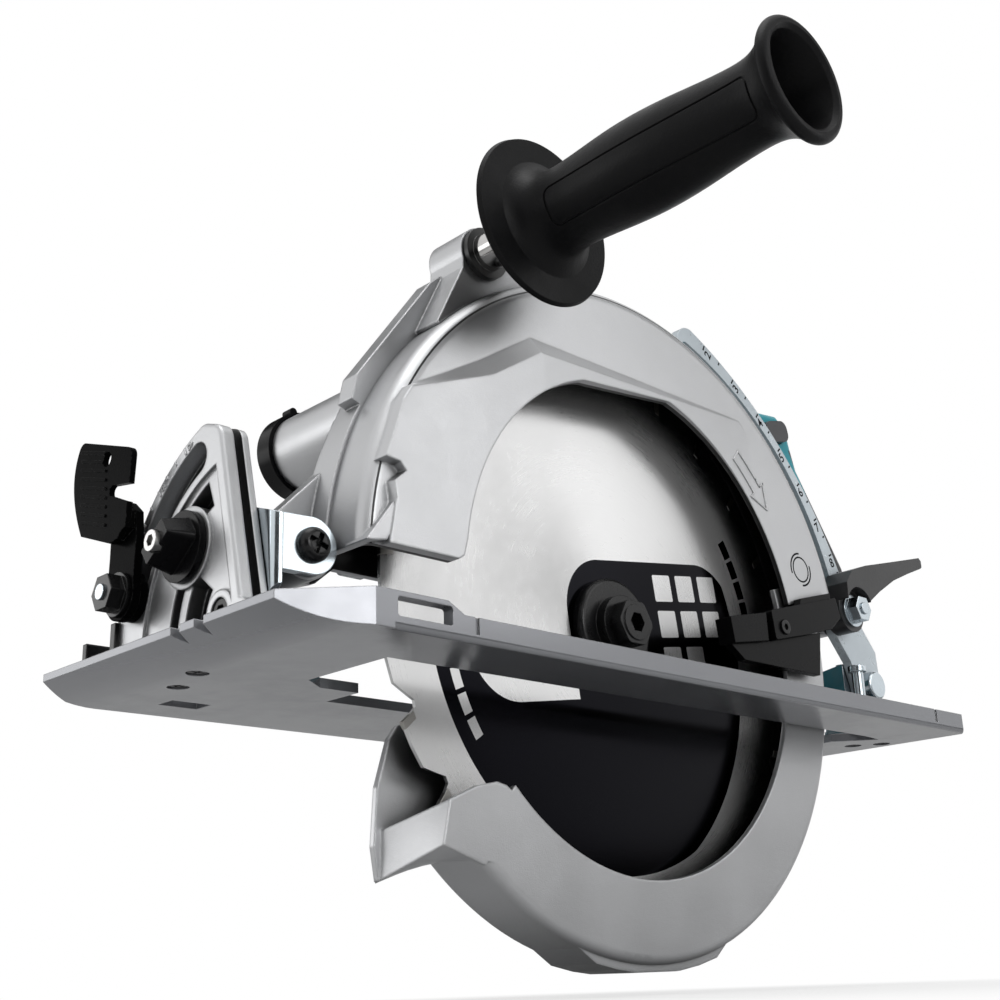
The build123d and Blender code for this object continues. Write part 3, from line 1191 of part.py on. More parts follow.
def guard_nose():
    """Flared front end of the lower guard: a front wall that leans towards the far side."""
    near = guard_spread((-90, -70), (-115.4, -64), (-111.7, -47.6), (-87, -39.8))
    far = guard_spread((-90, -64.5), (-122, -75.5), (-122, -57.4), (-100, -52))
    body = ruled(near, GUARD_FACE_Y, far, GUARD_BACK_Y)
    near_in = guard_spread((-86, -66), (-112, -61), (-108.5, -34), (-80, -26))
    far_in = guard_spread((-86, -64), (-119, -71.5), (-118.5, -44), (-95, -36))
    body -= ruled(near_in, GUARD_FACE_Y + GUARD_T, far_in, GUARD_BACK_Y - GUARD_T)
    edge = guard_spread((-112.6, -16.8), (-117, -22.5), (-122.9, -41), (-124.6, -62.5), (-122.5, -75))
    wall = poly(*edge, *guard_spread((-97, -66), (-70, -40), (-60, -10)))
    body += slab_y(wall, GUARD_BACK_Y - GUARD_T, GUARD_BACK_Y)
    brow = guard_spread((-74, -50), (-79, -43.4), (-83, -40.8), (-88, -39.8), (-97.8, -41.8))
    cheek = poly(*brow, *guard_spread((-111.7, -47.6), (-115.4, -64), (-95, -70.5)))
    return body + slab_y(cheek, GUARD_FACE_Y, GUARD_FACE_Y + GUARD_T)


def guard_pad():
    """Outline of the pad under the guard, with ends that run out into the rim."""
    inner = GUARD_R - 1.5
    outer = GUARD_R + 3.0
    steps = 6
    low = [polar(outer, 256 + 30 * i / steps) for i in range(steps + 1)]
    high = [polar(inner, 291 - 42 * i / steps) for i in range(steps + 1)]
    return poly(*low, *high)


def lower_guard():
    """C-shaped guard with a hub plate on the motor side and a flat pad at the bottom."""
    hub_front = GUARD_BACK_Y - GUARD_T
    outer = rod_y(GUARD_R, GUARD_FACE_Y, GUARD_BACK_Y, 0, ARBOR_Z)
    outer = round_rim(round_rim(outer, GUARD_FACE_Y, 4), GUARD_BACK_Y, 4)
    inner = rod_y(GUARD_R - GUARD_T, GUARD_FACE_Y + GUARD_T, hub_front, 0, ARBOR_Z)
    inner = round_rim(round_rim(inner, GUARD_FACE_Y + GUARD_T, 2.5), hub_front, 2.5)
    shell = outer - inner - rod_y(GUARD_IN_R, GUARD_FACE_Y - 1, 0, 0, ARBOR_Z)
    guard = shell & slab_y(pie(GUARD_NOSE_DEG, GUARD_TAIL_DEG), GUARD_FACE_Y - 1, GUARD_BACK_Y + 1)
    pad = slab_y(guard_pad(), GUARD_FACE_Y + 3, GUARD_BACK_Y - 3)
    pad &= box(-GUARD_R / 2, GUARD_R / 2, -40, 40, ARBOR_Z - GUARD_R - 2.4, 0)
    nose = guard_nose() - rod_y(GUARD_R - GUARD_T, GUARD_FACE_Y + GUARD_T, hub_front, 0, ARBOR_Z)
    guard += pad + nose
    guard -= slab_y(band(46, 100, 236, 330) + band(46, 100, 346, 372), hub_front - 1, GUARD_BACK_Y + 1)
    guard += ring_y(GUARD_HUB_R, BOSS_R + GAP, hub_front, GUARD_BACK_Y, 0, ARBOR_Z)
    return guard - rod_y(BOSS_R + GAP, 0, GUARD_BACK_Y + 1, 0, ARBOR_Z)


# Side handle


def grip_body(sink):
    """The grip turned about its axis: flange, barrel, flared hollow end, smaller by the sink."""
    length = FLANGE_Y - HANDLE_END_Y
    barrel = GRIP_R - sink
    outline = Spline(
        (GRIP_R + 7.5, 3.2),
        (barrel + 1.6, 8),
        (barrel - 0.5, 0.17 * length),
        (barrel + 1.3, 0.4 * length),
        (barrel + 0.6, 0.58 * length),
        (barrel - 1.8, 0.8 * length),
        (barrel - 1.0, 0.89 * length),
        (TRUMPET_R - 1.8, length - 5.2),
    )
    bead = ThreePointArc(outline @ 1, (TRUMPET_R, length - 2.6), (TRUMPET_R - 2.2, length))
    rest = Polyline(
        (TRUMPET_R - 2.2, length),
        (TRUMPET_R - 3.6, length),
        (TRUMPET_R - 5.2, length - 1.6),
        (GRIP_R - 5.0, length - 18),
        (GRIP_R - 6.5, length - 46),
        (0, length - 46),
        (0, -8),
        (STUD_R + 7, -8),
        (STUD_R + 9, -4),
        (HANDLE_FLANGE_R - 1.6, -1.6),
        (HANDLE_FLANGE_R, 0),
        (HANDLE_FLANGE_R - 0.8, 2.2),
        (GRIP_R + 7.5, 3.2),
    )
    grip = revolve(closed(outline, bead, rest), axis=Axis.Y)
    return Pos(HANDLE_X, FLANGE_Y, HANDLE_Z) * Rot(180, 0, 0) * grip


def grip_line():
    """A rectangular line with round corners, cast outwards from the grip's axis towards the front."""
    middle = (FLANGE_Y + HANDLE_END_Y) / 2 - 2
    front = Plane(origin=(HANDLE_X, middle, HANDLE_Z), x_dir=(0, 1, 0), z_dir=GRIP_LINE_WAY)
    frame = RectangleRounded(100, 16.6, 3.5) - RectangleRounded(98.4, 15.0, 2.8)
    return extrude(front * frame, amount=GRIP_R + 8)


def side_handle():
    """Rubber grip with a plain panel line in its barrel."""
    line = grip_line() - grip_body(GRIP_LINE)
    return grip_body(0) - line - handle_stud()


def handle_stud():
    """Steel stud of the side handle, with a collar against the boss."""
    stud = rod_y(STUD_R, FLANGE_Y - 22, BOSS_FACE_Y - 3.0, HANDLE_X, HANDLE_Z)
    stud += rod_y(COLLAR_R, BOSS_FACE_Y - 3.0, BOSS_FACE_Y, HANDLE_X, HANDLE_Z)
    return stud + rod_y(STUD_R - 2.5, BOSS_FACE_Y, 0.5, HANDLE_X, HANDLE_Z)


# Rear handle, switch and battery


def handle_outline():
    """Outer outline of the rear handle."""
    return poly(
        (62, 100),
        (92, 128),
        (140, 166),
        (160, 187),
        (172, 195),
        (190, 197),
        (199, 191),
        (202, 179),
        (206, 166),
        (223, 142),
        (243, 113),
        (247, 98),
        (241, FOOT_Z0),
        (66, FOOT_Z0),
    )


def finger_hole():
    """The opening that the hand goes through."""
    front = ((164, 158), (154, 154), (112, FOOT_Z1 + 6), (118, FOOT_Z1), (199, FOOT_Z1))
    hole = poly(*front, GRIP_LOW, GRIP_TOP)
    return fillet(hole.vertices(), 4)


def grip_frame(along, across):
    """A point measured along the grip from its top and across it towards the rear."""
    length = hypot(GRIP_LOW[0] - GRIP_TOP[0], GRIP_LOW[1] - GRIP_TOP[1])
    gx = (GRIP_LOW[0] - GRIP_TOP[0]) / length
    gz = (GRIP_LOW[1] - GRIP_TOP[1]) / length
    return (GRIP_TOP[0] + gx * along - gz * across, GRIP_TOP[1] + gz * along + gx * across)


def trigger_outline(grow, travel):
    """Outline of the trigger, or of the room it needs: its sides run along its travel."""
    top = 6 - grow
    low = 33 + grow
    inner = 6 + travel + grow
    corners = ((top, -13 - grow), (top, inner), (low, inner), (low, -9 - grow))
    return poly(*[grip_frame(a, c) for a, c in corners])


def trigger():
    body = slab_y(trigger_outline(0, 0), REAR_SPLIT - 8, REAR_SPLIT + 8)
    front = [e for e in body.edges().filter_by(Axis.Y) if e.center().X < GRIP_TOP[0] + 2]
    return fillet(front, 3)


def lock_face():
    return Pos(LOCK_X, LOCK_Z) * Rot(0, 0, 14) * RectangleRounded(20, 12.5, 5)


def lock_off():
    """Cross button of the lock, standing out of the blade side of the handle."""
    return slab_y(lock_face(), REAR_Y0 - 4, REAR_Y1 - 1)


def lock_hole():
    return slab_y(offset(lock_face(), GAP), REAR_Y0 - 5, REAR_Y1 + 5)


def handle_solid():
    """The whole rear handle before it is split into two shells."""
    grip = slab_y(handle_outline() - finger_hole(), REAR_Y0, REAR_Y1)
    rims = [e for e in grip.edges() if min(abs(e.center().Y - y) for y in (REAR_Y0, REAR_Y1)) < 1e-4]
    grip = fillet(rims, 6)
    foot = box(BATTERY_X0 + 2, BATTERY_X1 - 2, REAR_SPLIT, BATTERY_Y1 - 2, FOOT_Z0, FOOT_Z1 - 4)
    solid = grip + foot
    cavity = offset(handle_outline() - finger_hole(), -SHELL_T - 2)
    solid -= slab_y(cavity, REAR_Y0 + SHELL_T + 1, REAR_Y1 - SHELL_T - 1)
    solid -= box(BATTERY_X0 + 6, BATTERY_X1 - 6, REAR_Y1 - 6, BATTERY_Y1 - 6, FOOT_Z0 + 4, FOOT_Z1 - 8)
    for x, z in handle_screw_places():
        solid += rod_y(SCREW_BOSS_R + 1, REAR_Y0 + 1.5, REAR_Y1 - 1.5, x, z)
    solid -= rod_y(MOTOR_R + FIT, 0, 200, MOTOR_X, MOTOR_Z)
    solid -= slab_y(trigger_outline(GAP, TRIGGER_TRAVEL), REAR_SPLIT - 8 - GAP, REAR_SPLIT + 8 + GAP)
    solid -= lock_hole()
    solid += battery_rails()
    solid -= terminal_block()
    solid -= controller()
    for x, z in handle_screw_places():
        solid -= rod_y(SCREW_R, REAR_Y0 - 8, REAR_Y1 + 1, x, z) + rod_y(4.2, REAR_Y1 - 3, REAR_Y1 + 1, x, z)
    return solid


def handle_left():
    return handle_solid() & box(0, 300, REAR_Y0 - 10, REAR_SPLIT, 0, 260)


def handle_right():
    return handle_solid() & box(0, 300, REAR_SPLIT, 140, 0, 260)


def handle_screw_places():
    """Screws of the rear handle: two into the gear housing, the rest across the shells."""
    return ((82.0, 97.0), (108.0, 97.0), (150.0, 167.0), (226.0, 120.0))


def handle_screws():
    screws = []
    for i, (x, z) in enumerate(handle_screw_places()):
        tip = PAN_BACK_Y + 2 if i < 2 else REAR_Y0 + 4
        head = rod_y(3.9, REAR_Y1 - 3, REAR_Y1 - 0.6, x, z)
        head -= slab_y(Pos(x, z) * hexagon(3), REAR_Y1 - 2, REAR_Y1)
        screws.append(head + rod_y(SCREW_R, tip, REAR_Y1 - 3, x, z))
    return Compound(children=screws)


def grip_pad():
    """Soft pad on the back of the grip, over both shells."""
    pad = poly(grip_frame(2, 28), grip_frame(46, 28), grip_frame(46, 35.4), grip_frame(2, 35.4))
    return slab_y(pad, REAR_Y0 + 7, REAR_Y1 - 7) - slab_y(handle_outline(), REAR_Y0, REAR_Y1)


def switch_block():
    """Switch behind the trigger, inside the grip."""
    body = poly(*[grip_frame(a, c) for a, c in ((37, 7), (37, 21), (49, 21), (49, 7))])
    return slab_y(body, REAR_Y0 + SHELL_T + 1, REAR_Y1 - SHELL_T - 1)


def controller():
    return box(136, 196, REAR_SPLIT - 12, REAR_SPLIT + 12, FOOT_Z0 + 4.5, FOOT_Z1 - 5)


def battery_top():
    return FOOT_Z0 - BATTERY_GAP


def battery_middle():
    return (BATTERY_Y0 + BATTERY_Y1) / 2


def battery_rails():
    """Two rails under the foot that hold the battery by its grooves."""
    rails = Part()
    for side in (-1, 1):
        web = battery_middle() + side * 20
        tip = web - side * RAIL_FOOT
        low, high = sorted((web + side * RAIL_T, web))
        rails += box(BATTERY_X0 + 6, BATTERY_X1 - 12, low, high, FOOT_Z0 - RAIL_H, FOOT_Z0 + 1)
        low, high = sorted((web + side * RAIL_T, tip))
        rails += box(BATTERY_X0 + 6, BATTERY_X1 - 12, low, high, FOOT_Z0 - RAIL_H, FOOT_Z0 - RAIL_H + 3)
    return rails


def battery_grooves():
    """Grooves for the rails, open at the front end of the battery."""
    grooves = Part()
    room = 0.6
    for side in (-1, 1):
        web = battery_middle() + side * 20
        tip = web - side * (RAIL_FOOT + room)
        low, high = sorted((web + side * (RAIL_T + room), web - side * room))
        grooves += box(BATTERY_X0 - 1, BATTERY_X1 - 11, low, high, FOOT_Z0 - RAIL_H - room, FOOT_Z0 + 1)
        low, high = sorted((web + side * (RAIL_T + room), tip))
        top = FOOT_Z0 - RAIL_H + 3 + room
        grooves += box(BATTERY_X0 - 1, BATTERY_X1 - 11, low, high, FOOT_Z0 - RAIL_H - room, top)
    return grooves


def terminal_block():
    """Contacts that reach down into the channel of the battery."""
    middle = battery_middle()
    return box(200, 226, middle - 11, middle + 11, FOOT_Z0 - 4, FOOT_Z0 + 4)


def battery_case():
    body = box(BATTERY_X0, BATTERY_X1, BATTERY_Y0, BATTERY_Y1, BATTERY_Z0, battery_top())
    body = fillet(body.edges().filter_by(Axis.X), 5)
    body = fillet(body.edges().filter_by(Axis.Y).sort_by(Axis.X)[-2:], 4)
    body -= battery_grooves()
    middle = battery_middle()
    body -= box(BATTERY_X0 - 1, 229, middle - 12, middle + 12, FOOT_Z0 - 5, FOOT_Z0 + 1)
    return body - battery_button_room()


def battery_button_room():
    middle = battery_middle()
    return box(BATTERY_X1 - 7, BATTERY_X1 + 8, middle - 12.4, middle + 12.4, 54, 72.4)


def battery_button():
    """Release button on the rear face of the battery, with a finger ledge."""
    middle = battery_middle()
    button = box(BATTERY_X1 - 6.7, BATTERY_X1 + 1.5, middle - 12, middle + 12, 58.4, 72)
    return button + box(BATTERY_X1 - 4, BATTERY_X1 + 3, middle - 12, middle + 12, 69, 72)


# Shaft lock and lamp


def shaft_lock_hole():
    x, z = polar(LOCK_R, LOCK_DEG)
    return rod_y(LOCK_PIN_R + FIT, CHAMBER_Y1 - 1, GEARBOX_BACK_Y + 1, x, z)


def shaft_lock():
    """Button on the gearbox whose pin drops into the drive gear."""
    x, z = polar(LOCK_R, LOCK_DEG)
    pin = rod_y(LOCK_PIN_R, GEAR_Y1 + 0.6, GEARBOX_BACK_Y + LOCK_TRAVEL + 0.4, x, z)
    cap_y = GEARBOX_BACK_Y + LOCK_TRAVEL + 0.4
    cap = rod_y(LOCK_CAP_R, cap_y, cap_y + LOCK_CAP_T, x, z)
    return pin + round_rim(cap, cap_y + LOCK_CAP_T, 2)


def lamp():
    """Work lamp on the back of the housing, behind the front of the blade."""
    x = -123 * SPREAD
    body = box(x - 7, x + 7, PAN_BACK_Y, PAN_BACK_Y + 10, 44, 54)
    return fillet(body.edges().filter_by(Axis.Y), 2)


NODES = (
    base_plate,
    base_screws,
    rule_screw,
    bevel_quadrant,
    quadrant_bolt,
    rear_pivot_bracket,
    pivot_pins,
    stop_pin,
    front_angle_plate,
    bevel_bolt,
    rear_angle_plate,
    guide_rivet,
    pivot_screw,
    depth_guide,
    bevel_lever,
    bevel_nut,
    stop_knob,
    knob_screw,
    depth_bolt,
    depth_lever,
    depth_nut,
    blade_case,
    case_screws,
    gear_housing,
    bearings,
    guard_spring,
    pivot_bush,
    dust_outlet,
    dust_ring,
    chip_shield,
    chip_flap,
    spindle,
    drive_gear,
    inner_flange,
    blade,
    blade_tips,
    outer_flange,
    arbor_bolt,
    rotor_shaft,
    rotor_core,
    fan,
    stator,
    motor_housing,
    motor_cap,
    lower_guard,
    side_handle,
    handle_stud,
    handle_left,
    handle_right,
    handle_screws,
    grip_pad,
    trigger,
    lock_off,
    switch_block,
    controller,
    terminal_block,
    battery_case,
    battery_button,
    shaft_lock,
    lamp,
)

os.makedirs("parts", exist_ok=True)
for make in NODES:
    solid = make()
    export_step(solid, os.path.join("parts", make.__name__ + ".step"))
    print(make.__name__, len(solid.solids()), round(solid.volume))
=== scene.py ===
"""Finishes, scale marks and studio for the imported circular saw."""

from math import asin, atan2, cos, hypot, pi, radians, sin

import bmesh
import bpy
from bpy.props import FloatProperty, FloatVectorProperty, PointerProperty
from bpy.types import Operator, Panel, PropertyGroup
from mathutils import Matrix, Vector
from mathutils.bvhtree import BVHTree


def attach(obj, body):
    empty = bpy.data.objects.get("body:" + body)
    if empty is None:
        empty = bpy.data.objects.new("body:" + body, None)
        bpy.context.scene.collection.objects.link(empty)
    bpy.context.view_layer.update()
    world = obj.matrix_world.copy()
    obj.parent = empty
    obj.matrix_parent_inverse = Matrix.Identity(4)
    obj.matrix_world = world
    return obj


bl_info = {
    "name": "Cordless Circular Saw",
    "version": (1, 0, 0),
    "blender": (4, 5, 0),
    "location": "View3D > Sidebar > Saw",
    "description": "Finishes, scale marks and a studio for the circular saw",
    "category": "Object",
}

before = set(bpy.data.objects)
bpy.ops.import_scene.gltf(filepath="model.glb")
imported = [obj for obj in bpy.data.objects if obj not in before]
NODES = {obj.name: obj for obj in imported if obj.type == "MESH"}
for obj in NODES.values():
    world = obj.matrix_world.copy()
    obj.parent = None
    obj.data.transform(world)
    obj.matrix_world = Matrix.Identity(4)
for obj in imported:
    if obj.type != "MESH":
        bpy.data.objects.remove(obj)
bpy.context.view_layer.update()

MM = 0.001
ARBOR_Z = 0.035
ARBOR = (0.0, 0.0, ARBOR_Z)
WHITE = (1.0, 1.0, 1.0, 1.0)

PRINT_SOFTNESS = 0.0001  # half the width of a print's soft edge
PRINT_HEIGHT = 0.00004   # how far a printed mark stands out
RUBBED_POLISH = 0.12     # how much less rough a rubbed edge is
MARK_FOOT = -0.3         # foot of a mark under its face, in heights of the mark
FONT_SIZE = 1.4          # size of the font, in heights of a number
FONT_STROKE = 0.022      # how far strokes are thickened, in heights of a number

ZINC_NODES = (
    "front_angle_plate", "rear_angle_plate", "rear_pivot_bracket",
    "guide_rivet", "stop_pin", "depth_nut", "bevel_bolt", "depth_bolt", "pivot_pins",
)
DARK_STEEL_NODES = (
    "bevel_nut", "outer_flange", "arbor_bolt", "pivot_screw", "case_screws",
    "base_screws", "quadrant_bolt", "handle_screws", "inner_flange",
)
STEEL_NODES = (
    "spindle", "drive_gear", "rotor_shaft", "rotor_core", "stator", "bearings",
    "guard_spring", "knob_screw",
)
BLACK_PLASTIC_NODES = (
    "stop_knob", "chip_shield", "chip_flap", "dust_ring", "pivot_bush",
    "rule_screw", "motor_cap", "fan", "trigger", "switch_block", "controller",
    "terminal_block", "battery_case", "shaft_lock",
)
GREY_NODES = ("lock_off", "battery_button")
RUBBER_NODES = ("side_handle", "grip_pad")


class SawFinishes(PropertyGroup):
    """Colours and wear of the saw's surfaces."""

    cast: FloatVectorProperty(
        name="Cast metal", description="Satin cast case, guard and quadrant",
        subtype="COLOR", size=3, min=0, max=1, default=(0.51, 0.515, 0.525))
    sole: FloatVectorProperty(
        name="Sole", description="Smooth grey base plate",
        subtype="COLOR", size=3, min=0, max=1, default=(0.235, 0.24, 0.255))
    zinc: FloatVectorProperty(
        name="Zinc", description="Bluish plating of plates, nuts and the guide",
        subtype="COLOR", size=3, min=0, max=1, default=(0.56, 0.62, 0.66))
    steel: FloatVectorProperty(
        name="Steel", description="Bare turned steel",
        subtype="COLOR", size=3, min=0, max=1, default=(0.56, 0.55, 0.54))
    dark_steel: FloatVectorProperty(
        name="Blackened steel", description="Bevel lever, flanges, bolts and screws",
        subtype="COLOR", size=3, min=0, max=1, default=(0.006, 0.006, 0.0065))
    blade: FloatVectorProperty(
        name="Blade", description="Ground steel of the blade",
        subtype="COLOR", size=3, min=0, max=1, default=(0.76, 0.76, 0.76))
    ink: FloatVectorProperty(
        name="Ink", description="Dark print on the blade, the depth scale and the case",
        subtype="COLOR", size=3, min=0, max=1, default=(0.006, 0.006, 0.008))
    black_plastic: FloatVectorProperty(
        name="Black plastic", description="Chip shield, knobs, motor cap and battery",
        subtype="COLOR", size=3, min=0, max=1, default=(0.004, 0.004, 0.0045))
    teal: FloatVectorProperty(
        name="Teal plastic", description="Rear handle and motor housing",
        subtype="COLOR", size=3, min=0, max=1, default=(0.004, 0.27, 0.33))
    grey_plastic: FloatVectorProperty(
        name="Grey plastic", description="Lock and battery buttons",
        subtype="COLOR", size=3, min=0, max=1, default=(0.055, 0.055, 0.06))
    rubber: FloatVectorProperty(
        name="Rubber", description="Side handle and grip pad",
        subtype="COLOR", size=3, min=0, max=1, default=(0.004, 0.004, 0.0045))
    edge_radius: FloatProperty(
        name="Edge radius", description="How far sharp edges are softened",
        unit="LENGTH", min=0, max=0.003, default=0.0005)
    # Also sets the painted highlight on the bevel lever's rib edges
    edge_wear: FloatProperty(
        name="Edge wear", description="How much of an edge has rubbed bright",
        subtype="FACTOR", min=0, max=1, default=0.5)


class SawMarks(PropertyGroup):
    """Sizes of the scales, numbers and raised marks."""

    tick_width: FloatProperty(
        name="Tick width", description="Width of a scale tick",
        unit="LENGTH", min=0.0001, max=0.002, default=0.0009)
    number_height: FloatProperty(
        name="Number height", description="Height of the scale numbers",
        unit="LENGTH", min=0.001, max=0.01, default=0.005)
    relief: FloatProperty(
        name="Relief", description="How far raised marks stand out",
        unit="LENGTH", min=0.0001, max=0.002, default=0.0004)
    print_tilt: FloatProperty(
        name="Print tilt", description="Turn of the blade's printed panel",
        subtype="ANGLE", min=-pi, max=pi, default=radians(8.2))


class SawStudio(PropertyGroup):
    """Floor, lamps and background."""

    floor_z: FloatProperty(
        name="Floor height", description="Height of the floor under the saw",
        unit="LENGTH", min=-1, max=0, default=-0.118)
    floor_tone: FloatVectorProperty(
        name="Floor", description="Pale floor",
        subtype="COLOR", size=3, min=0, max=1, default=(0.86, 0.86, 0.86))
    key: FloatProperty(
        name="Key lamp", description="Large lamp on the blade side",
        unit="POWER", min=0, max=500, default=1.7)
    front: FloatProperty(
        name="Front lamp", description="Lamp straight in front of the blade",
        unit="POWER", min=0, max=500, default=4.0)
    fill: FloatProperty(
        name="Fill lamp", description="Low lamp behind the front end",
        unit="POWER", min=0, max=500, default=2.4)
    top: FloatProperty(
        name="Top lamp", description="Wide lamp overhead",
        unit="POWER", min=0, max=500, default=6.0)
    sky: FloatProperty(
        name="Sky", description="Strength of the plain surround as light",
        min=0, max=2, default=0.4)


class Graph:
    """Short ways to add shader nodes to one tree and join them."""

    def __init__(self, tree):
        self.tree = tree

    def node(self, kind, **settings):
        made = self.tree.nodes.new(kind)
        for name, value in settings.items():
            setattr(made, name, value)
        return made

    def put(self, socket, value):
        """Sets a socket to a number or colour, or joins another socket to it."""
        if isinstance(value, bpy.types.NodeSocket):
            self.tree.links.new(value, socket)
        elif value is not None:
            wide = hasattr(socket.default_value, "__len__") and len(socket.default_value) == 4
            if wide and len(value) == 3:
                value = (*value, 1.0)
            socket.default_value = value

    def math(self, operation, a, b=None, c=None, clamp=False):
        made = self.node("ShaderNodeMath", operation=operation, use_clamp=clamp)
        for socket, value in zip(made.inputs, (a, b, c)):
            self.put(socket, value)
        return made.outputs[0]

    def between(self, value, low, high):
        """1 where a value lies between two limits, and 0 elsewhere."""
        above = self.math("GREATER_THAN", value, low)
        return self.math("MULTIPLY", above, self.math("LESS_THAN", value, high))

    def weigh(self, a, weight_a, b, weight_b):
        """The sum of two values, each times its weight."""
        first = self.math("MULTIPLY", a, weight_a)
        return self.math("ADD", first, self.math("MULTIPLY", b, weight_b))

    def flat_length(self, x, z):
        """The length of x, z in the plane of the blade."""
        return self.math("SQRT", self.weigh(x, x, z, z))

    def vector(self, operation, a, b=None):
        made = self.node("ShaderNodeVectorMath", operation=operation)
        self.put(made.inputs[0], a)
        self.put(made.inputs[1], b)
        return made.outputs["Value" if operation in ("LENGTH", "DOT_PRODUCT") else "Vector"]

    def ramp(self, value, low, high):
        """Smooth step of a value between two limits."""
        made = self.node("ShaderNodeMapRange", interpolation_type="SMOOTHSTEP")
        for socket, given in zip(made.inputs, (value, low, high)):
            self.put(socket, given)
        return made.outputs["Result"]

    def under(self, value, limit):
        """Mask of where a value lies under a limit, with the soft edge of a print."""
        return self.ramp(value, limit + PRINT_SOFTNESS, limit - PRINT_SOFTNESS)

    def mix(self, share, a, b):
        """Colour between a and b."""
        made = self.node("ShaderNodeMix", data_type="RGBA")
        self.put(made.inputs["Factor"], share)
        colours = [s for s in made.inputs if s.type == "RGBA"]
        self.put(colours[0], a)
        self.put(colours[1], b)
        return [s for s in made.outputs if s.type == "RGBA"][0]

    def blend(self, share, a, b):
        """Number between a and b."""
        made = self.node("ShaderNodeMix", data_type="FLOAT")
        self.put(made.inputs["Factor"], share)
        numbers = [s for s in made.inputs if s.type == "VALUE" and s.name != "Factor"]
        self.put(numbers[0], a)
        self.put(numbers[1], b)
        return [s for s in made.outputs if s.type == "VALUE"][0]

    def noise(self, place, scale, detail=2.0, roughness=0.5):
        made = self.node("ShaderNodeTexNoise")
        given = {"Vector": place, "Scale": scale, "Detail": detail, "Roughness": roughness}
        for name, value in given.items():
            self.put(made.inputs[name], value)
        return made.outputs["Fac"]

    def combine(self, x, y, z):
        made = self.node("ShaderNodeCombineXYZ")
        for socket, value in zip(made.inputs, (x, y, z)):
            self.put(socket, value)
        return made.outputs[0]

    def split(self, vector):
        made = self.node("ShaderNodeSeparateXYZ")
        self.put(made.inputs[0], vector)
        return made.outputs

    def place(self):
        """Where the point lies on the object, in metres."""
        return self.node("ShaderNodeTexCoord").outputs["Object"]

    def relief(self, shader, height, depth, normal=None):
        """Bumps a shader by a height of some depth, over another normal if there is one."""
        bump = self.node("ShaderNodeBump")
        self.put(bump.inputs["Distance"], depth)
        self.put(bump.inputs["Height"], height)
        self.put(bump.inputs["Normal"], normal)
        self.put(shader.inputs["Normal"], bump.outputs["Normal"])

    def group(self, name, **values):
        """Places a shader group with its own values, and gives its outputs."""
        made = self.node("ShaderNodeGroup", node_tree=bpy.data.node_groups[name])
        for socket, value in values.items():
            self.put(made.inputs[socket], value)
        return made.outputs


def new_group(name, inputs, outputs):
    """An empty shader group with float or vector sockets, its graph and its ends."""
    tree = bpy.data.node_groups.new(name, "ShaderNodeTree")
    for label, default in inputs:
        kind = "NodeSocketVector" if isinstance(default, tuple) else "NodeSocketFloat"
        tree.interface.new_socket(label, in_out="INPUT", socket_type=kind).default_value = default
    for label in outputs:
        kind = "NodeSocketVector" if label == "Normal" else "NodeSocketFloat"
        tree.interface.new_socket(label, in_out="OUTPUT", socket_type=kind)
    graph = Graph(tree)
    return graph, graph.node("NodeGroupInput").outputs, graph.node("NodeGroupOutput").inputs


def edge_wear_group():
    """Softened edges, and a broken mask of where they have rubbed, which on the bevel lever also
    carries a painted highlight.
    """
    inputs = (("Radius", 0.0005), ("Breakup", 900.0))
    g, given, out = new_group("Edge wear", inputs, ("Wear", "Normal"))
    soft = g.node("ShaderNodeBevel", samples=6)
    g.put(soft.inputs["Radius"], given["Radius"])
    plain = g.node("ShaderNodeNewGeometry")
    turn = g.vector("DOT_PRODUCT", soft.outputs["Normal"], plain.outputs["Normal"])
    flat, sharp = 0.985, 0.80  # how far the softened normal still agrees with the plain one
    edge = g.ramp(turn, flat, sharp)
    specks = g.noise(g.place(), given["Breakup"], detail=3.0, roughness=0.6)
    broken = g.ramp(specks, 0.42, 0.62)
    g.put(out["Wear"], g.math("MULTIPLY", edge, broken))
    g.put(out["Normal"], soft.outputs["Normal"])


def grain_group():
    """Fine grain of a cast or moulded skin over slow mottling."""
    inputs = (("Grain", 2500.0), ("Mottle", 40.0))
    g, given, out = new_group("Skin grain", inputs, ("Height", "Mottle"))
    place = g.place()
    fine = g.noise(place, given["Grain"], detail=2.0, roughness=0.6)
    wider = g.math("MULTIPLY", given["Grain"], 0.31)
    pores = g.noise(place, wider, detail=1.0, roughness=0.4)
    g.put(out["Height"], g.math("ADD", fine, g.math("MULTIPLY", pores, 0.5)))
    g.put(out["Mottle"], g.noise(place, given["Mottle"], detail=4.0, roughness=0.55))


def handling_group():
    """Slow smudges from hands and dust that dull a surface here and there."""
    g, given, out = new_group("Handling", (("Size", 12.0),), ("Smudge",))
    place = g.place()
    broad = g.noise(place, given["Size"], detail=5.0, roughness=0.62)
    fine = g.noise(place, g.math("MULTIPLY", given["Size"], 9.0), detail=3.0, roughness=0.6)
    g.put(out["Smudge"], g.ramp(g.weigh(broad, 0.75, fine, 0.25), 0.38, 0.66))


def turning_group():
    """Fine rings left by grinding or turning about an axis along Y."""
    inputs = (("Centre", ARBOR), ("Rings", 1600.0))
    g, given, out = new_group("Turning", inputs, ("Streak", "Radius", "Angle"))
    x, _, z = g.split(g.vector("SUBTRACT", g.place(), given["Centre"]))
    radius = g.flat_length(x, z)
    angle = g.math("ARCTAN2", z, x)
    across = g.math("MULTIPLY", radius, given["Rings"])
    streaks_per_radian = 1.4
    rings = g.combine(across, g.math("MULTIPLY", angle, streaks_per_radian), 0.0)
    g.put(out["Streak"], g.noise(rings, 1.0, detail=4.0, roughness=0.7))
    g.put(out["Radius"], radius)
    g.put(out["Angle"], angle)


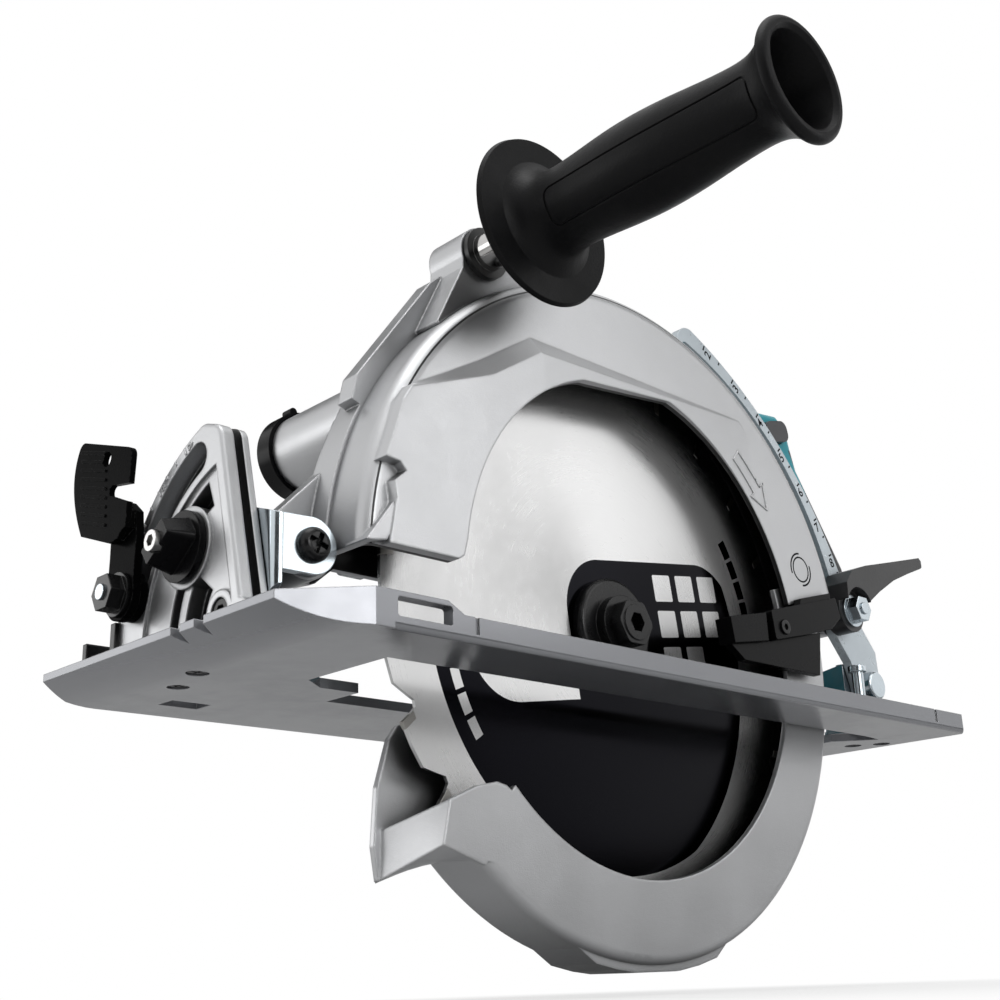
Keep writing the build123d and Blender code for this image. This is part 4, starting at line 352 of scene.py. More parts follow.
def panel_mask_group():
    """Mask of a rectangle with round corners in the XZ plane."""
    nowhere = (0.0, 0.0, 0.0)
    inputs = (
        ("Point", nowhere), ("Centre", nowhere), ("Half", (0.01, 0.0, 0.01)), ("Corner", 0.001),
    )
    g, given, out = new_group("Panel mask", inputs, ("Mask",))
    corner = g.combine(given["Corner"], 0.0, given["Corner"])
    away = g.vector("ABSOLUTE", g.vector("SUBTRACT", given["Point"], given["Centre"]))
    over = g.vector("ADD", g.vector("SUBTRACT", away, given["Half"]), corner)
    x, _, z = g.split(over)
    beyond = g.combine(g.math("MAXIMUM", x, 0.0), 0.0, g.math("MAXIMUM", z, 0.0))
    outside = g.vector("LENGTH", beyond)
    inside = g.math("MINIMUM", g.math("MAXIMUM", x, z), 0.0)
    gap = g.math("SUBTRACT", g.math("ADD", outside, inside), given["Corner"])
    g.put(out["Mask"], g.under(gap, 0.0))


def dashes_group():
    """Mask of a row of short arcs round the arbor."""
    inputs = (
        ("Radius", 0.0), ("Angle", 0.0), ("Low", 0.1), ("High", 0.105),
        ("Start", 0.0), ("Pitch", 0.1), ("Count", 3.0), ("Fill", 0.8),
    )
    g, given, out = new_group("Rim dashes", inputs, ("Mask",))
    turned = g.math("SUBTRACT", given["Angle"], given["Start"])
    step = g.math("DIVIDE", turned, given["Pitch"])
    within = g.between(step, 0.0, given["Count"])
    dash = g.math("LESS_THAN", g.math("FRACT", step), given["Fill"])
    ring = g.between(given["Radius"], given["Low"], given["High"])
    g.put(out["Mask"], g.math("MULTIPLY", g.math("MULTIPLY", within, dash), ring))


def crevice_group():
    """How open a point is to its surroundings, as the mask of painted shade: dark in slots, pockets
    and corners.
    """
    g, given, out = new_group("Crevice", (("Near", 0.006), ("Far", 0.045)), ("Open",))
    shades = []
    for name, low, high in (("Near", 0.15, 0.8), ("Far", 0.0, 0.75)):
        shade = g.node("ShaderNodeAmbientOcclusion", samples=6)
        g.put(shade.inputs["Distance"], given[name])
        shades.append(g.ramp(shade.outputs["AO"], low, high))
    g.put(out["Open"], g.math("MULTIPLY", *shades))


def inside_group():
    """Mask of the inside of a round case: nearer the arbor than a radius, between two planes."""
    inputs = (("Radius", 0.1515), ("Low", -0.0222), ("High", -0.001))
    g, given, out = new_group("Inside mask", inputs, ("Mask",))
    x, y, z = g.split(g.vector("SUBTRACT", g.place(), ARBOR))
    near = g.math("LESS_THAN", g.flat_length(x, z), given["Radius"])
    between = g.between(y, given["Low"], given["High"])
    g.put(out["Mask"], g.math("MULTIPLY", near, between))


GROUPS = (
    crevice_group, inside_group, edge_wear_group, grain_group,
    handling_group, turning_group, panel_mask_group, dashes_group,
)


def ensure_groups():
    """Builds the shader groups once."""
    if "Edge wear" not in bpy.data.node_groups:
        for make in GROUPS:
            make()


def start_material(name):
    """A new node material with a Principled BSDF, ready to wire."""
    ensure_groups()
    material = bpy.data.materials.new(name)
    material.use_nodes = True
    graph = Graph(material.node_tree)
    shader = next(n for n in material.node_tree.nodes if n.type == "BSDF_PRINCIPLED")
    return material, graph, shader


def surface(name, colour, *, worn, roughness, spread, tone, grain, depth, mottle, metallic=0.0,
            wear=1.0, gloss=0.5, smudge=0.08, edge=1.0, crevice_shade=0.5, second=None):
    """A surface with wear: mottled colour, rubbed edges, smudges, painted shade in crevices and a
    grain in relief.

    The edge colour is that of rubbed edges, and on the bevel lever it is also a painted highlight
    along the ribs. tone and spread say how far the mottling changes the colour and the roughness.
    grain and mottle are noise scales, and depth is the grain's.
    The crevice amount says how far the colour darkens as painted shade in slots, pockets and
    corners.
    second is a function that gives the mask, colour and roughness of a second finish.
    """
    finishes = bpy.context.scene.saw_finishes
    material, g, shader = start_material(name)
    skin = g.group("Skin grain", Grain=grain, Mottle=mottle)
    edges = g.group("Edge wear", Radius=finishes.edge_radius * edge)
    unshaded = g.group("Crevice")["Open"]
    hands = g.group("Handling")
    darker = tuple(c * (1 - tone) for c in colour)
    lighter = tuple(min(1.0, c * (1 + tone)) for c in colour)
    body = g.mix(skin["Mottle"], darker, lighter)
    # Mask of rubbed edges; on the bevel lever the lighter edge colour it brings in is a painted
    # highlight
    rubbed = g.math("MULTIPLY", edges["Wear"], finishes.edge_wear * wear)
    # Painted shade: the colour darkens by the crevice amount in slots, pockets and corners
    body = g.mix(unshaded, tuple(c * (1 - crevice_shade) for c in colour), body)
    body = g.mix(rubbed, body, worn)
    rough = g.math("MULTIPLY_ADD", skin["Mottle"], spread, roughness - spread / 2)
    dulled = g.math("MULTIPLY_ADD", hands["Smudge"], smudge, rough)
    rough = g.math("SUBTRACT", dulled, g.math("MULTIPLY", rubbed, RUBBED_POLISH))
    if second:
        mask, other, other_rough = second(g)
        body = g.mix(mask, body, other)
        rough = g.blend(mask, rough, other_rough)
        g.put(shader.inputs["Metallic"], g.blend(mask, metallic, 0.0))
    else:
        shader.inputs["Metallic"].default_value = metallic
    g.put(shader.inputs["Base Color"], body)
    g.put(shader.inputs["Roughness"], rough)
    shader.inputs["Specular IOR Level"].default_value = gloss
    g.relief(shader, skin["Height"], depth, edges["Normal"])
    return material


def neutral(tone):
    """A colour with no hue."""
    return (tone, tone, tone)


def paint(material, names):
    """Gives CAD nodes a material."""
    for name in names:
        node = NODES[name]
        node.data.materials.clear()
        node.data.materials.append(material)


def add_piece(name, mesh, material, body):
    """Links a mesh as a piece that rides on a body."""
    mesh.materials.append(material)
    piece = bpy.data.objects.new(name, mesh)
    bpy.context.scene.collection.objects.link(piece)
    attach(piece, body)


class CastMetal(Operator):
    """Satin cast metal on the case, housing, guard, quadrant and dust outlet"""

    bl_idname = "saw.cast_metal"
    bl_label = "Cast metal"

    black = (0.004, 0.004, 0.0045)
    pocket_x, tab_y = -0.1945, 0.0735
    front_facing = -0.9

    def case_inside(self, g):
        """The inside of the blade case."""
        return g.group("Inside mask")["Mask"], self.black, 0.4

    def housing_inside(self, g):
        """The side of the gear housing that the case closes."""
        inside = g.group("Inside mask", Radius=0.1527, Low=-0.002, High=0.0131)
        return inside["Mask"], self.black, 0.4

    def quadrant_dark(self, g):
        """The two upright tabs, painted black, and painted shade on the floors of the slot and the
        pockets.
        """
        spot = g.node("ShaderNodeTexCoord").outputs
        x, y, _ = g.split(spot["Object"])
        facing, _, _ = g.split(spot["Normal"])
        to_front = g.math("LESS_THAN", facing, self.front_facing)
        deep_shade = g.math("MULTIPLY", g.math("GREATER_THAN", x, self.pocket_x), to_front)
        tabs = g.math("GREATER_THAN", y, self.tab_y)
        return g.math("MAXIMUM", tabs, deep_shade), self.black, 0.35

    def execute(self, context):
        colours = context.scene.saw_finishes
        # The third column is how far painted shade darkens the colour in crevices
        kinds = (
            ("cast_magnesium", None, 0.75, ("lower_guard", "dust_outlet")),
            ("cast_case", self.case_inside, 0.75, ("blade_case",)),
            ("cast_housing", self.housing_inside, 0.75, ("gear_housing",)),
            ("cast_quadrant", self.quadrant_dark, 0.75, ("bevel_quadrant",)),
            ("cast_relief", None, 0.0, ()),  # for the raised marks
        )
        for name, second, crevice_shade, nodes in kinds:
            material = surface(
                name, colours.cast, worn=neutral(0.74), roughness=0.36, metallic=0.92,
                spread=0.08, tone=0.08, grain=1900.0, depth=0.00006, mottle=24.0, wear=0.7,
                smudge=0.06, edge=2.6, crevice_shade=crevice_shade, second=second)
            paint(material, nodes)
        return {"FINISHED"}


class Sole(Operator):
    """Smooth grey metal on the base plate"""

    bl_idname = "saw.sole"
    bl_label = "Sole"

    def execute(self, context):
        colours = context.scene.saw_finishes
        material = surface(
            "sole_metal", colours.sole, worn=neutral(0.7), roughness=0.16, metallic=0.6,
            spread=0.06, tone=0.06, grain=1500.0, depth=0.00001, mottle=18.0, smudge=0.1)
        paint(material, ("base_plate",))
        return {"FINISHED"}


class ZincPlate(Operator):
    """Bluish zinc plate on the angle plates, the depth guide, nuts and bolts"""

    bl_idname = "saw.zinc_plate"
    bl_label = "Zinc plate"

    worn = (0.82, 0.84, 0.85)

    def execute(self, context):
        colours = context.scene.saw_finishes
        plate = surface(
            "zinc_plate", colours.zinc, worn=self.worn, roughness=0.15, metallic=1.0,
            spread=0.12, tone=0.1, grain=1800.0, depth=0.00001, mottle=90.0)
        paint(plate, ZINC_NODES)
        scale = surface(
            "zinc_scale", colours.zinc, worn=self.worn, roughness=0.24, metallic=0.3,
            spread=0.1, tone=0.08, grain=1800.0, depth=0.00001, mottle=90.0)
        paint(scale, ("depth_guide",))
        return {"FINISHED"}


class Steel(Operator):
    """Turned steel, blackened steel and carbide"""

    bl_idname = "saw.steel"
    bl_label = "Steel"

    collar_y = -0.0181

    def collar(self, g):
        """The collar against the boss is black."""
        _, y, _ = g.split(g.place())
        return g.math("GREATER_THAN", y, self.collar_y), neutral(0.005), 0.3

    def execute(self, context):
        colours = context.scene.saw_finishes
        bare = surface(
            "turned_steel", colours.steel, worn=neutral(0.75), roughness=0.24, metallic=1.0,
            spread=0.1, tone=0.08, grain=1600.0, depth=0.00001, mottle=60.0)
        paint(bare, STEEL_NODES)
        stud = surface(
            "stud_steel", colours.steel, worn=neutral(0.75), roughness=0.12, metallic=1.0,
            spread=0.06, tone=0.08, grain=1600.0, depth=0.00001, mottle=60.0,
            second=self.collar)
        paint(stud, ("handle_stud",))
        dark = surface(
            "blackened_steel", colours.dark_steel, worn=neutral(0.16), roughness=0.24,
            spread=0.1, tone=0.15, grain=1500.0, depth=0.00002, mottle=70.0, wear=0.6, gloss=0.3)
        paint(dark, DARK_STEEL_NODES)
        half_as_light = tuple(c * 0.5 for c in colours.dark_steel)
        # On the bevel lever the light edge colour is a painted highlight along the ribs, on top of
        # wear
        coated = surface(
            "coated_steel", half_as_light, worn=neutral(0.12), roughness=0.22,
            spread=0.1, tone=0.15, grain=1500.0, depth=0.00002, mottle=70.0, gloss=0.008)
        paint(coated, ("bevel_lever",))
        carbide = surface(
            "carbide", (0.36, 0.35, 0.33), worn=(0.6, 0.58, 0.55), roughness=0.3, metallic=1.0,
            spread=0.1, tone=0.15, grain=3000.0, depth=0.00001, mottle=200.0)
        paint(carbide, ("blade_tips",))
        return {"FINISHED"}


class Blade(Operator):
    """Ground steel with a dark printed field, blank squares and rim dashes"""

    bl_idname = "saw.blade"
    bl_label = "Blade"

    # Sizes of the print, from the arbor; all but the disc and the dashes turn with it
    panel = {"Centre": (0.0343, 0.0, -0.034), "Half": (0.0593, 0.1, 0.0658), "Corner": 0.0245}
    tongue = {"Centre": (-0.024, 0.0, 0.03), "Half": (0.062, 0.1, 0.06), "Corner": 0.026}
    square = {"Half": (0.0063, 0.1, 0.0063), "Corner": 0.0009}
    square_rows = ((0.0196, 3), (0.0026, 3), (-0.0144, 2))
    square_start, square_pitch = 0.0429, 0.0168
    disc_radius = 0.106
    arc_centre, arc_radius = (-0.015, 0.0, -0.005), 0.1075
    low_edge, left_edge = -0.03, -0.0301
    pale_dashes = {
        "Low": 0.0945, "High": 0.0992, "Start": radians(-169.0), "Pitch": radians(6.2),
        "Count": 4.0, "Fill": 0.8,
    }
    dark_dashes = {
        "Low": 0.1020, "High": 0.1074, "Start": radians(5.0), "Pitch": radians(5.8),
        "Count": 5.0, "Fill": 0.85,
    }

    shade = 0.72  # the dark end of the streaks' colours, as a share of the blade's
    steel_metallic, print_metallic = 0.75, 1.0
    print_roughness = 0.16
    grinding = 0.75  # how far the grinding draws out highlights
    print_relief, streak_relief, relief_depth = 0.6, 0.25, 0.00001
    # Limits of the painted shadow where the case covers the blade
    open_low, open_high = 0.42, 0.68

    def print_mask(self, g, tilt, turned):
        """Mask of the dark print: a panel, the field beside it and dashes near the rim."""
        x, _, z = g.split(g.vector("SUBTRACT", g.place(), ARBOR))
        u = g.weigh(x, cos(tilt), z, sin(tilt))
        w = g.math("SUBTRACT", g.math("MULTIPLY", z, cos(tilt)), g.math("MULTIPLY", x, sin(tilt)))
        point = g.combine(u, 0.0, w)
        rim = {"Radius": turned["Radius"], "Angle": turned["Angle"]}

        panel = g.group("Panel mask", Point=point, **self.panel)["Mask"]
        left_band = g.math("MULTIPLY", g.under(u, self.left_edge), g.under(w, 0.0))
        lower = g.math("MAXIMUM", g.under(w, self.low_edge), left_band)
        tongue = g.group("Panel mask", Point=point, **self.tongue)["Mask"]
        lower = g.math("MULTIPLY", lower, g.math("SUBTRACT", 1.0, tongue))
        near_arbor = g.under(turned["Radius"], self.disc_radius)
        off_centre = g.vector("LENGTH", g.vector("SUBTRACT", point, self.arc_centre))
        disc = g.math("MULTIPLY", near_arbor, g.under(off_centre, self.arc_radius))
        printed = g.math("MULTIPLY", g.math("MAXIMUM", panel, lower), disc)

        bare = g.group("Rim dashes", **rim, **self.pale_dashes)["Mask"]
        for row, columns in self.square_rows:
            for column in range(columns):
                centre = (self.square_start + self.square_pitch * column, 0.0, row)
                one = g.group("Panel mask", Point=point, Centre=centre, **self.square)["Mask"]
                bare = g.math("MAXIMUM", bare, one)
        printed = g.math("MULTIPLY", printed, g.math("SUBTRACT", 1.0, bare))
        return g.math("MAXIMUM", printed, g.group("Rim dashes", **rim, **self.dark_dashes)["Mask"])

    def execute(self, context):
        colours = context.scene.saw_finishes
        material, g, shader = start_material("blade_steel")
        turned = g.group("Turning", Centre=ARBOR, Rings=2600.0)
        streak = turned["Streak"]
        hands = g.group("Handling", Size=26.0)
        printed = self.print_mask(g, context.scene.saw_marks.print_tilt, turned)

        light = g.math("MULTIPLY_ADD", streak, 0.35, 0.78)
        light = g.math("SUBTRACT", light, 0.5, clamp=True)
        steel = g.mix(light, tuple(c * self.shade for c in colours.blade), colours.blade)
        # Painted shadow: the steel turns near black where the case's rim covers the blade
        unshadowed = g.group("Crevice", Near=0.02, Far=0.05)["Open"]
        unshadowed = g.ramp(unshadowed, self.open_low, self.open_high)
        steel = g.mix(unshadowed, neutral(0.008), steel)
        g.put(shader.inputs["Base Color"], g.mix(printed, steel, colours.ink))
        ground = g.math("MULTIPLY_ADD", streak, 0.16, 0.2)
        ground = g.math("MULTIPLY_ADD", hands["Smudge"], 0.05, ground)
        g.put(shader.inputs["Roughness"], g.blend(printed, ground, self.print_roughness))
        metallic = g.blend(printed, self.steel_metallic, self.print_metallic)
        g.put(shader.inputs["Metallic"], metallic)
        shader.inputs["Anisotropic"].default_value = self.grinding
        tangent = g.node("ShaderNodeTangent", direction_type="RADIAL", axis="Y")
        g.put(shader.inputs["Tangent"], tangent.outputs[0])
        raised = g.math("MULTIPLY", printed, self.print_relief)
        height = g.math("SUBTRACT", raised, g.math("MULTIPLY", streak, self.streak_relief))
        g.relief(shader, height, self.relief_depth)
        paint(material, ("blade",))
        return {"FINISHED"}


class Plastics(Operator):
    """Black, satin, teal and grey moulded plastic"""

    bl_idname = "saw.plastics"
    bl_label = "Plastics"

    back_way = (0.871, 0.491)
    back_reach = 0.2575
    button_z = 0.176

    def soft_back(self, g):
        """A soft dark skin along the back of the grip, under the button."""
        x, _, z = g.split(g.place())
        behind = g.weigh(x, self.back_way[0], z, self.back_way[1])
        under = g.math("LESS_THAN", z, self.button_z)
        back = g.math("MULTIPLY", g.math("GREATER_THAN", behind, self.back_reach), under)
        return back, (0.03, 0.03, 0.033), 0.5

    def execute(self, context):
        colours = context.scene.saw_finishes
        black = surface(
            "black_plastic", colours.black_plastic, worn=neutral(0.05), roughness=0.2,
            spread=0.1, tone=0.15, grain=1500.0, depth=0.00002, mottle=50.0, wear=0.6, gloss=0.1)
        paint(black, BLACK_PLASTIC_NODES)
        satin = surface(
            "satin_plastic", (0.018, 0.018, 0.019), worn=neutral(0.06), roughness=0.34,
            spread=0.1, tone=0.12, grain=1300.0, depth=0.00004, mottle=50.0, wear=0.6)
        paint(satin, ("depth_lever",))
        for name, second, nodes in (
            ("teal_plastic", None, ("motor_housing",)),
            ("teal_handle", self.soft_back, ("handle_left", "handle_right")),
        ):
            teal = surface(
                name, colours.teal, worn=(0.05, 0.4, 0.44), roughness=0.36, spread=0.08,
                tone=0.06, grain=1300.0, depth=0.00005, mottle=40.0, wear=0.5, second=second)
            paint(teal, nodes)
        grey = surface(
            "grey_plastic", colours.grey_plastic, worn=neutral(0.16), roughness=0.46,
            spread=0.08, tone=0.1, grain=1300.0, depth=0.00006, mottle=60.0, wear=0.5)
        paint(grey, GREY_NODES)
        return {"FINISHED"}


class Rubber(Operator):
    """Soft black rubber on the side handle and the grip pad"""

    bl_idname = "saw.rubber"
    bl_label = "Rubber"

    def execute(self, context):
        colours = context.scene.saw_finishes
        material = surface(
            "soft_rubber", colours.rubber, worn=neutral(0.03), roughness=0.36,
            spread=0.12, tone=0.2, grain=1100.0, depth=0.00008, mottle=45.0, wear=0.4,
            gloss=0.12, smudge=0.14)
        paint(material, RUBBER_NODES)
        return {"FINISHED"}


class Lamp(Operator):
    """Clear lens of the work lamp"""

    bl_idname = "saw.lamp"
    bl_label = "Lamp"

    dull, clear = (0.72, 0.76, 0.78), (0.9, 0.93, 0.94)

    def execute(self, context):
        material, g, shader = start_material("lamp_lens")
        skin = g.group("Skin grain", Grain=700.0, Mottle=160.0)
        g.put(shader.inputs["Base Color"], g.mix(skin["Mottle"], self.dull, self.clear))
        g.put(shader.inputs["Roughness"], g.math("MULTIPLY_ADD", skin["Mottle"], 0.1, 0.05))
        shader.inputs["Transmission Weight"].default_value = 0.5
        shader.inputs["IOR"].default_value = 1.49
        g.relief(shader, skin["Height"], 0.00005)
        paint(material, ("lamp",))
        return {"FINISHED"}


def ink_material():
    """The print of the depth scale and of the ring on the case."""
    made = bpy.data.materials.get("scale_ink")
    if made is None:
        colours = bpy.context.scene.saw_finishes
        made = surface(
            "scale_ink", colours.ink, worn=neutral(0.03), roughness=0.4, spread=0.1, tone=0.3,
            grain=2500.0, depth=0.00001, mottle=300.0, wear=0.0, gloss=0.03)
    return made


def bar(mesh, centre, along, across, normal, length, width, height):
    """Adds a thin box to a bmesh: its foot is centred and it rises along the normal."""
    corners = []
    for up in (MARK_FOOT, 1.0):
        for a, b in ((-1, -1), (1, -1), (1, 1), (-1, 1)):
            place = centre + along * (a * length / 2) + across * (b * width / 2)
            corners.append(mesh.verts.new(place + normal * (up * height)))
    low, high = corners[:4], corners[4:]
    mesh.faces.new(low[::-1])
    mesh.faces.new(high)
    for i in range(4):
        j = (i + 1) % 4
        mesh.faces.new((low[i], low[j], high[j], high[i]))


def number_mesh(text, height, depth):
    """A plain number as a mesh, centred, facing +Z."""
    curve = bpy.data.curves.new("number", "FONT")
    curve.body = text
    curve.size = height * FONT_SIZE
    curve.extrude = depth
    curve.offset = height * FONT_STROKE
    curve.align_x = "CENTER"
    curve.align_y = "CENTER"
    holder = bpy.data.objects.new("number", curve)
    mesh = bpy.data.meshes.new_from_object(holder)
    bpy.data.objects.remove(holder)
    bpy.data.curves.remove(curve)
    return mesh


def add_number(mesh, text, centre, right, normal, height, depth):
    """Adds a number to a bmesh, read with right to its right on a face with that normal."""
    up = normal.cross(right)
    turn = Matrix((right, up, normal)).transposed().to_4x4()
    turn.translation = centre
    letters = number_mesh(text, height, depth)
    letters.transform(turn)
    mesh.from_mesh(letters)
    bpy.data.meshes.remove(letters)


def finish_mesh(name, work):
    """Turns a bmesh into a mesh, and frees it."""
    mesh = bpy.data.meshes.new(name)
    work.normal_update()
    work.to_mesh(mesh)
    work.free()
    return mesh


class DepthScale(Operator):
    """Ticks and plain numbers of the depth of cut along the guide"""

    bl_idname = "saw.depth_scale"
    bl_label = "Depth scale"

    # Places are x, z at rest
    pivot = (-0.168, 0.040)
    bolt = (0.171, 0.066)
    rivet = (0.195, 0.0305)
    arc_centre = (-0.022, -0.005)
    arc_radius = 0.223
    face_y = -0.009
    ratio = 0.66  # the guide's turn for the body's
    blade_radius = 0.130

    depths = range(20, 96, 5)  # millimetres, a number at each whole centimetre
    long_tick, short_tick = 0.0030, 0.0018
    rim_margin = 0.0006
    number_in, number_aside = 0.0029, 0.0042

    def swing_for(self, depth):
        """Swing of the body that leaves this depth of blade under the sole."""
        arm = hypot(self.pivot[0], ARBOR_Z - self.pivot[1])
        droop = atan2(ARBOR_Z - self.pivot[1], -self.pivot[0])
        return asin((self.blade_radius - depth - self.pivot[1]) / arm) - droop

    def angle_for(self, swing):
        """Where the bolt then stands along the guide's arc."""
        dx, dz = self.bolt[0] - self.pivot[0], self.bolt[1] - self.pivot[1]
        bolt_x = self.pivot[0] + dx * cos(swing) - dz * sin(swing) - self.rivet[0]
        bolt_z = self.pivot[1] + dx * sin(swing) + dz * cos(swing) - self.rivet[1]
        back = self.ratio * swing
        x = self.rivet[0] + bolt_x * cos(back) - bolt_z * sin(back)
        z = self.rivet[1] + bolt_x * sin(back) + bolt_z * cos(back)
        return atan2(z - self.arc_centre[1], x - self.arc_centre[0])

    def execute(self, context):
        marks = context.scene.saw_marks
        normal = Vector((0, -1, 0))
        middle = Vector((self.arc_centre[0], self.face_y, self.arc_centre[1]))
        work = bmesh.new()
        for depth in self.depths:
            angle = self.angle_for(self.swing_for(depth * MM))
            out = Vector((cos(angle), 0, sin(angle)))
            tangent = Vector((-sin(angle), 0, cos(angle)))
            whole = depth % 10 == 0
            length = self.long_tick if whole else self.short_tick
            rim = middle + out * (self.arc_radius - self.rim_margin)
            tick = rim - out * (length / 2)
            bar(work, tick, out, tangent, normal, length, marks.tick_width, PRINT_HEIGHT)
            if whole:
                place = rim - out * self.number_in - tangent * self.number_aside
                text = str(depth // 10)
                add_number(work, text, place, out, normal, marks.number_height, PRINT_HEIGHT)
        mesh = finish_mesh("depth_scale_marks", work)
        add_piece("depth_scale_marks", mesh, ink_material(), "guide")
        return {"FINISHED"}


class BevelScale(Operator):
    """Raised ticks and plain numbers of the bevel angle on the quadrant's rim"""

    bl_idname = "saw.bevel_scale"
    bl_label = "Bevel scale"

    centre = (-0.006, 0.010)
    face_x = -0.197
    bolt_turn = 17.4
    rim = 0.0825

    tilts = range(0, 50, 5)  # degrees, a number at each step of numbered
    numbered = 15
    long_tick, short_tick = 0.0032, 0.0020
    number_in, number_aside = 0.0018, 0.0036
    number_height = 0.0026

    def execute(self, context):
        marks = context.scene.saw_marks
        normal = Vector((-1, 0, 0))
        work = bmesh.new()
        middle = Vector((self.face_x, *self.centre))
        for tilt in self.tilts:
            angle = radians(self.bolt_turn + tilt)
            out = Vector((0, cos(angle), sin(angle)))
            along = Vector((0, -sin(angle), cos(angle)))
            whole = tilt % self.numbered == 0
            length = self.long_tick if whole else self.short_tick
            tick = middle + out * (self.rim - length / 2)
            bar(work, tick, out, along, normal, length, marks.tick_width, marks.relief)
            if whole:
                place = middle + out * (self.rim - self.number_in) + along * self.number_aside
                add_number(work, str(tilt), place, -along, normal, self.number_height, marks.relief)
        mesh = finish_mesh("bevel_scale_marks", work)
        cast = bpy.data.materials["cast_relief"]
        add_piece("bevel_scale_marks", mesh, cast, "base")
        return {"FINISHED"}


class CaseMarks(Operator):
    """Raised arrow for the way the blade turns, and a plain printed ring, on the case"""

    bl_idname = "saw.case_marks"
    bl_label = "Case marks"

    # Turns are in degrees round the arbor, or round the ring's own centre
    arrow_radius = 0.1215
    arrow_tail, arrow_neck, arrow_tip = 51.0, 41.0, 35.6
    shaft_half, head_half = 0.0034, 0.0068
    ring_centre = (0.1228, 0.0793)
    ring_radius, ring_line = 0.0063, 0.0008
    bow_radius, bow_starts, bow_turn = 0.0082, (95, 275), 105
    line_width = 0.0009
    corner_overlap = 0.8  # how far a stroke runs on at its ends together, in widths
    in_front = -0.2       # a y clear of the case on the blade side

    def on_case(self, tree, x, z):
        """The point of the case's near face at x, z."""
        hit = tree.ray_cast(Vector((x, self.in_front, z)), Vector((0, 1, 0)))
        if hit[0] is None:
            raise RuntimeError("a case mark lies off the case")
        return hit[0]

    def line(self, work, tree, places, closed, width, height):
        """A narrow raised line through places given as x, z."""
        points = [self.on_case(tree, x, z) for x, z in places]
        ends = points[1:] + points[:1] if closed else points[1:]
        normal = Vector((0, -1, 0))
        for point, after in zip(points, ends):
            along = after - point
            length = along.length + width * self.corner_overlap
            along.normalize()
            across = normal.cross(along).normalized()
            bar(work, (point + after) / 2, along, across, normal, length, width, height)

    def spot(self, centre, radius, turn):
        """The point of the XZ plane at a radius and a turn in degrees."""
        return centre[0] + radius * cos(radians(turn)), centre[1] + radius * sin(radians(turn))

    def arc(self, centre, radius, start, stop, steps):
        """Points along an arc in the XZ plane."""
        turns = [start + (stop - start) * i / steps for i in range(steps + 1)]
        return [self.spot(centre, radius, turn) for turn in turns]

    def arrow(self):
        """The outline of a curved arrow round the arbor."""
        middle = (0.0, ARBOR_Z)
        outer, inner = self.arrow_radius + self.shaft_half, self.arrow_radius - self.shaft_half
        head = (
            (self.head_half, self.arrow_neck), (0.0, self.arrow_tip),
            (-self.head_half, self.arrow_neck),
        )
        outline = self.arc(middle, outer, self.arrow_tail, self.arrow_neck, 5)
        outline += [self.spot(middle, self.arrow_radius + off, turn) for off, turn in head]
        return outline + self.arc(middle, inner, self.arrow_neck, self.arrow_tail, 5)

    def execute(self, context):
        marks = context.scene.saw_marks
        shape = bmesh.new()
        shape.from_mesh(NODES["blade_case"].data)
        tree = BVHTree.FromBMesh(shape)
        shape.free()

        work = bmesh.new()
        self.line(work, tree, self.arrow(), True, self.line_width, marks.relief)
        cast = bpy.data.materials["cast_relief"]
        add_piece("case_arrow", finish_mesh("case_arrow", work), cast, "saw_body")

        work = bmesh.new()
        ring = self.arc(self.ring_centre, self.ring_radius, 0, 345, 23)
        self.line(work, tree, ring, True, self.ring_line, PRINT_HEIGHT)
        for start in self.bow_starts:
            bow = self.arc(self.ring_centre, self.bow_radius, start, start + self.bow_turn, 9)
            self.line(work, tree, bow, False, self.line_width, PRINT_HEIGHT)
        mesh = finish_mesh("case_ring_mark", work)
        add_piece("case_ring_mark", mesh, ink_material(), "saw_body")
        return {"FINISHED"}


def aim(item, place, target):
    """Puts an object at a place, with its -Z towards a target."""
    item.location = place
    item.rotation_euler = (Vector(target) - Vector(place)).to_track_quat("-Z", "Y").to_euler()


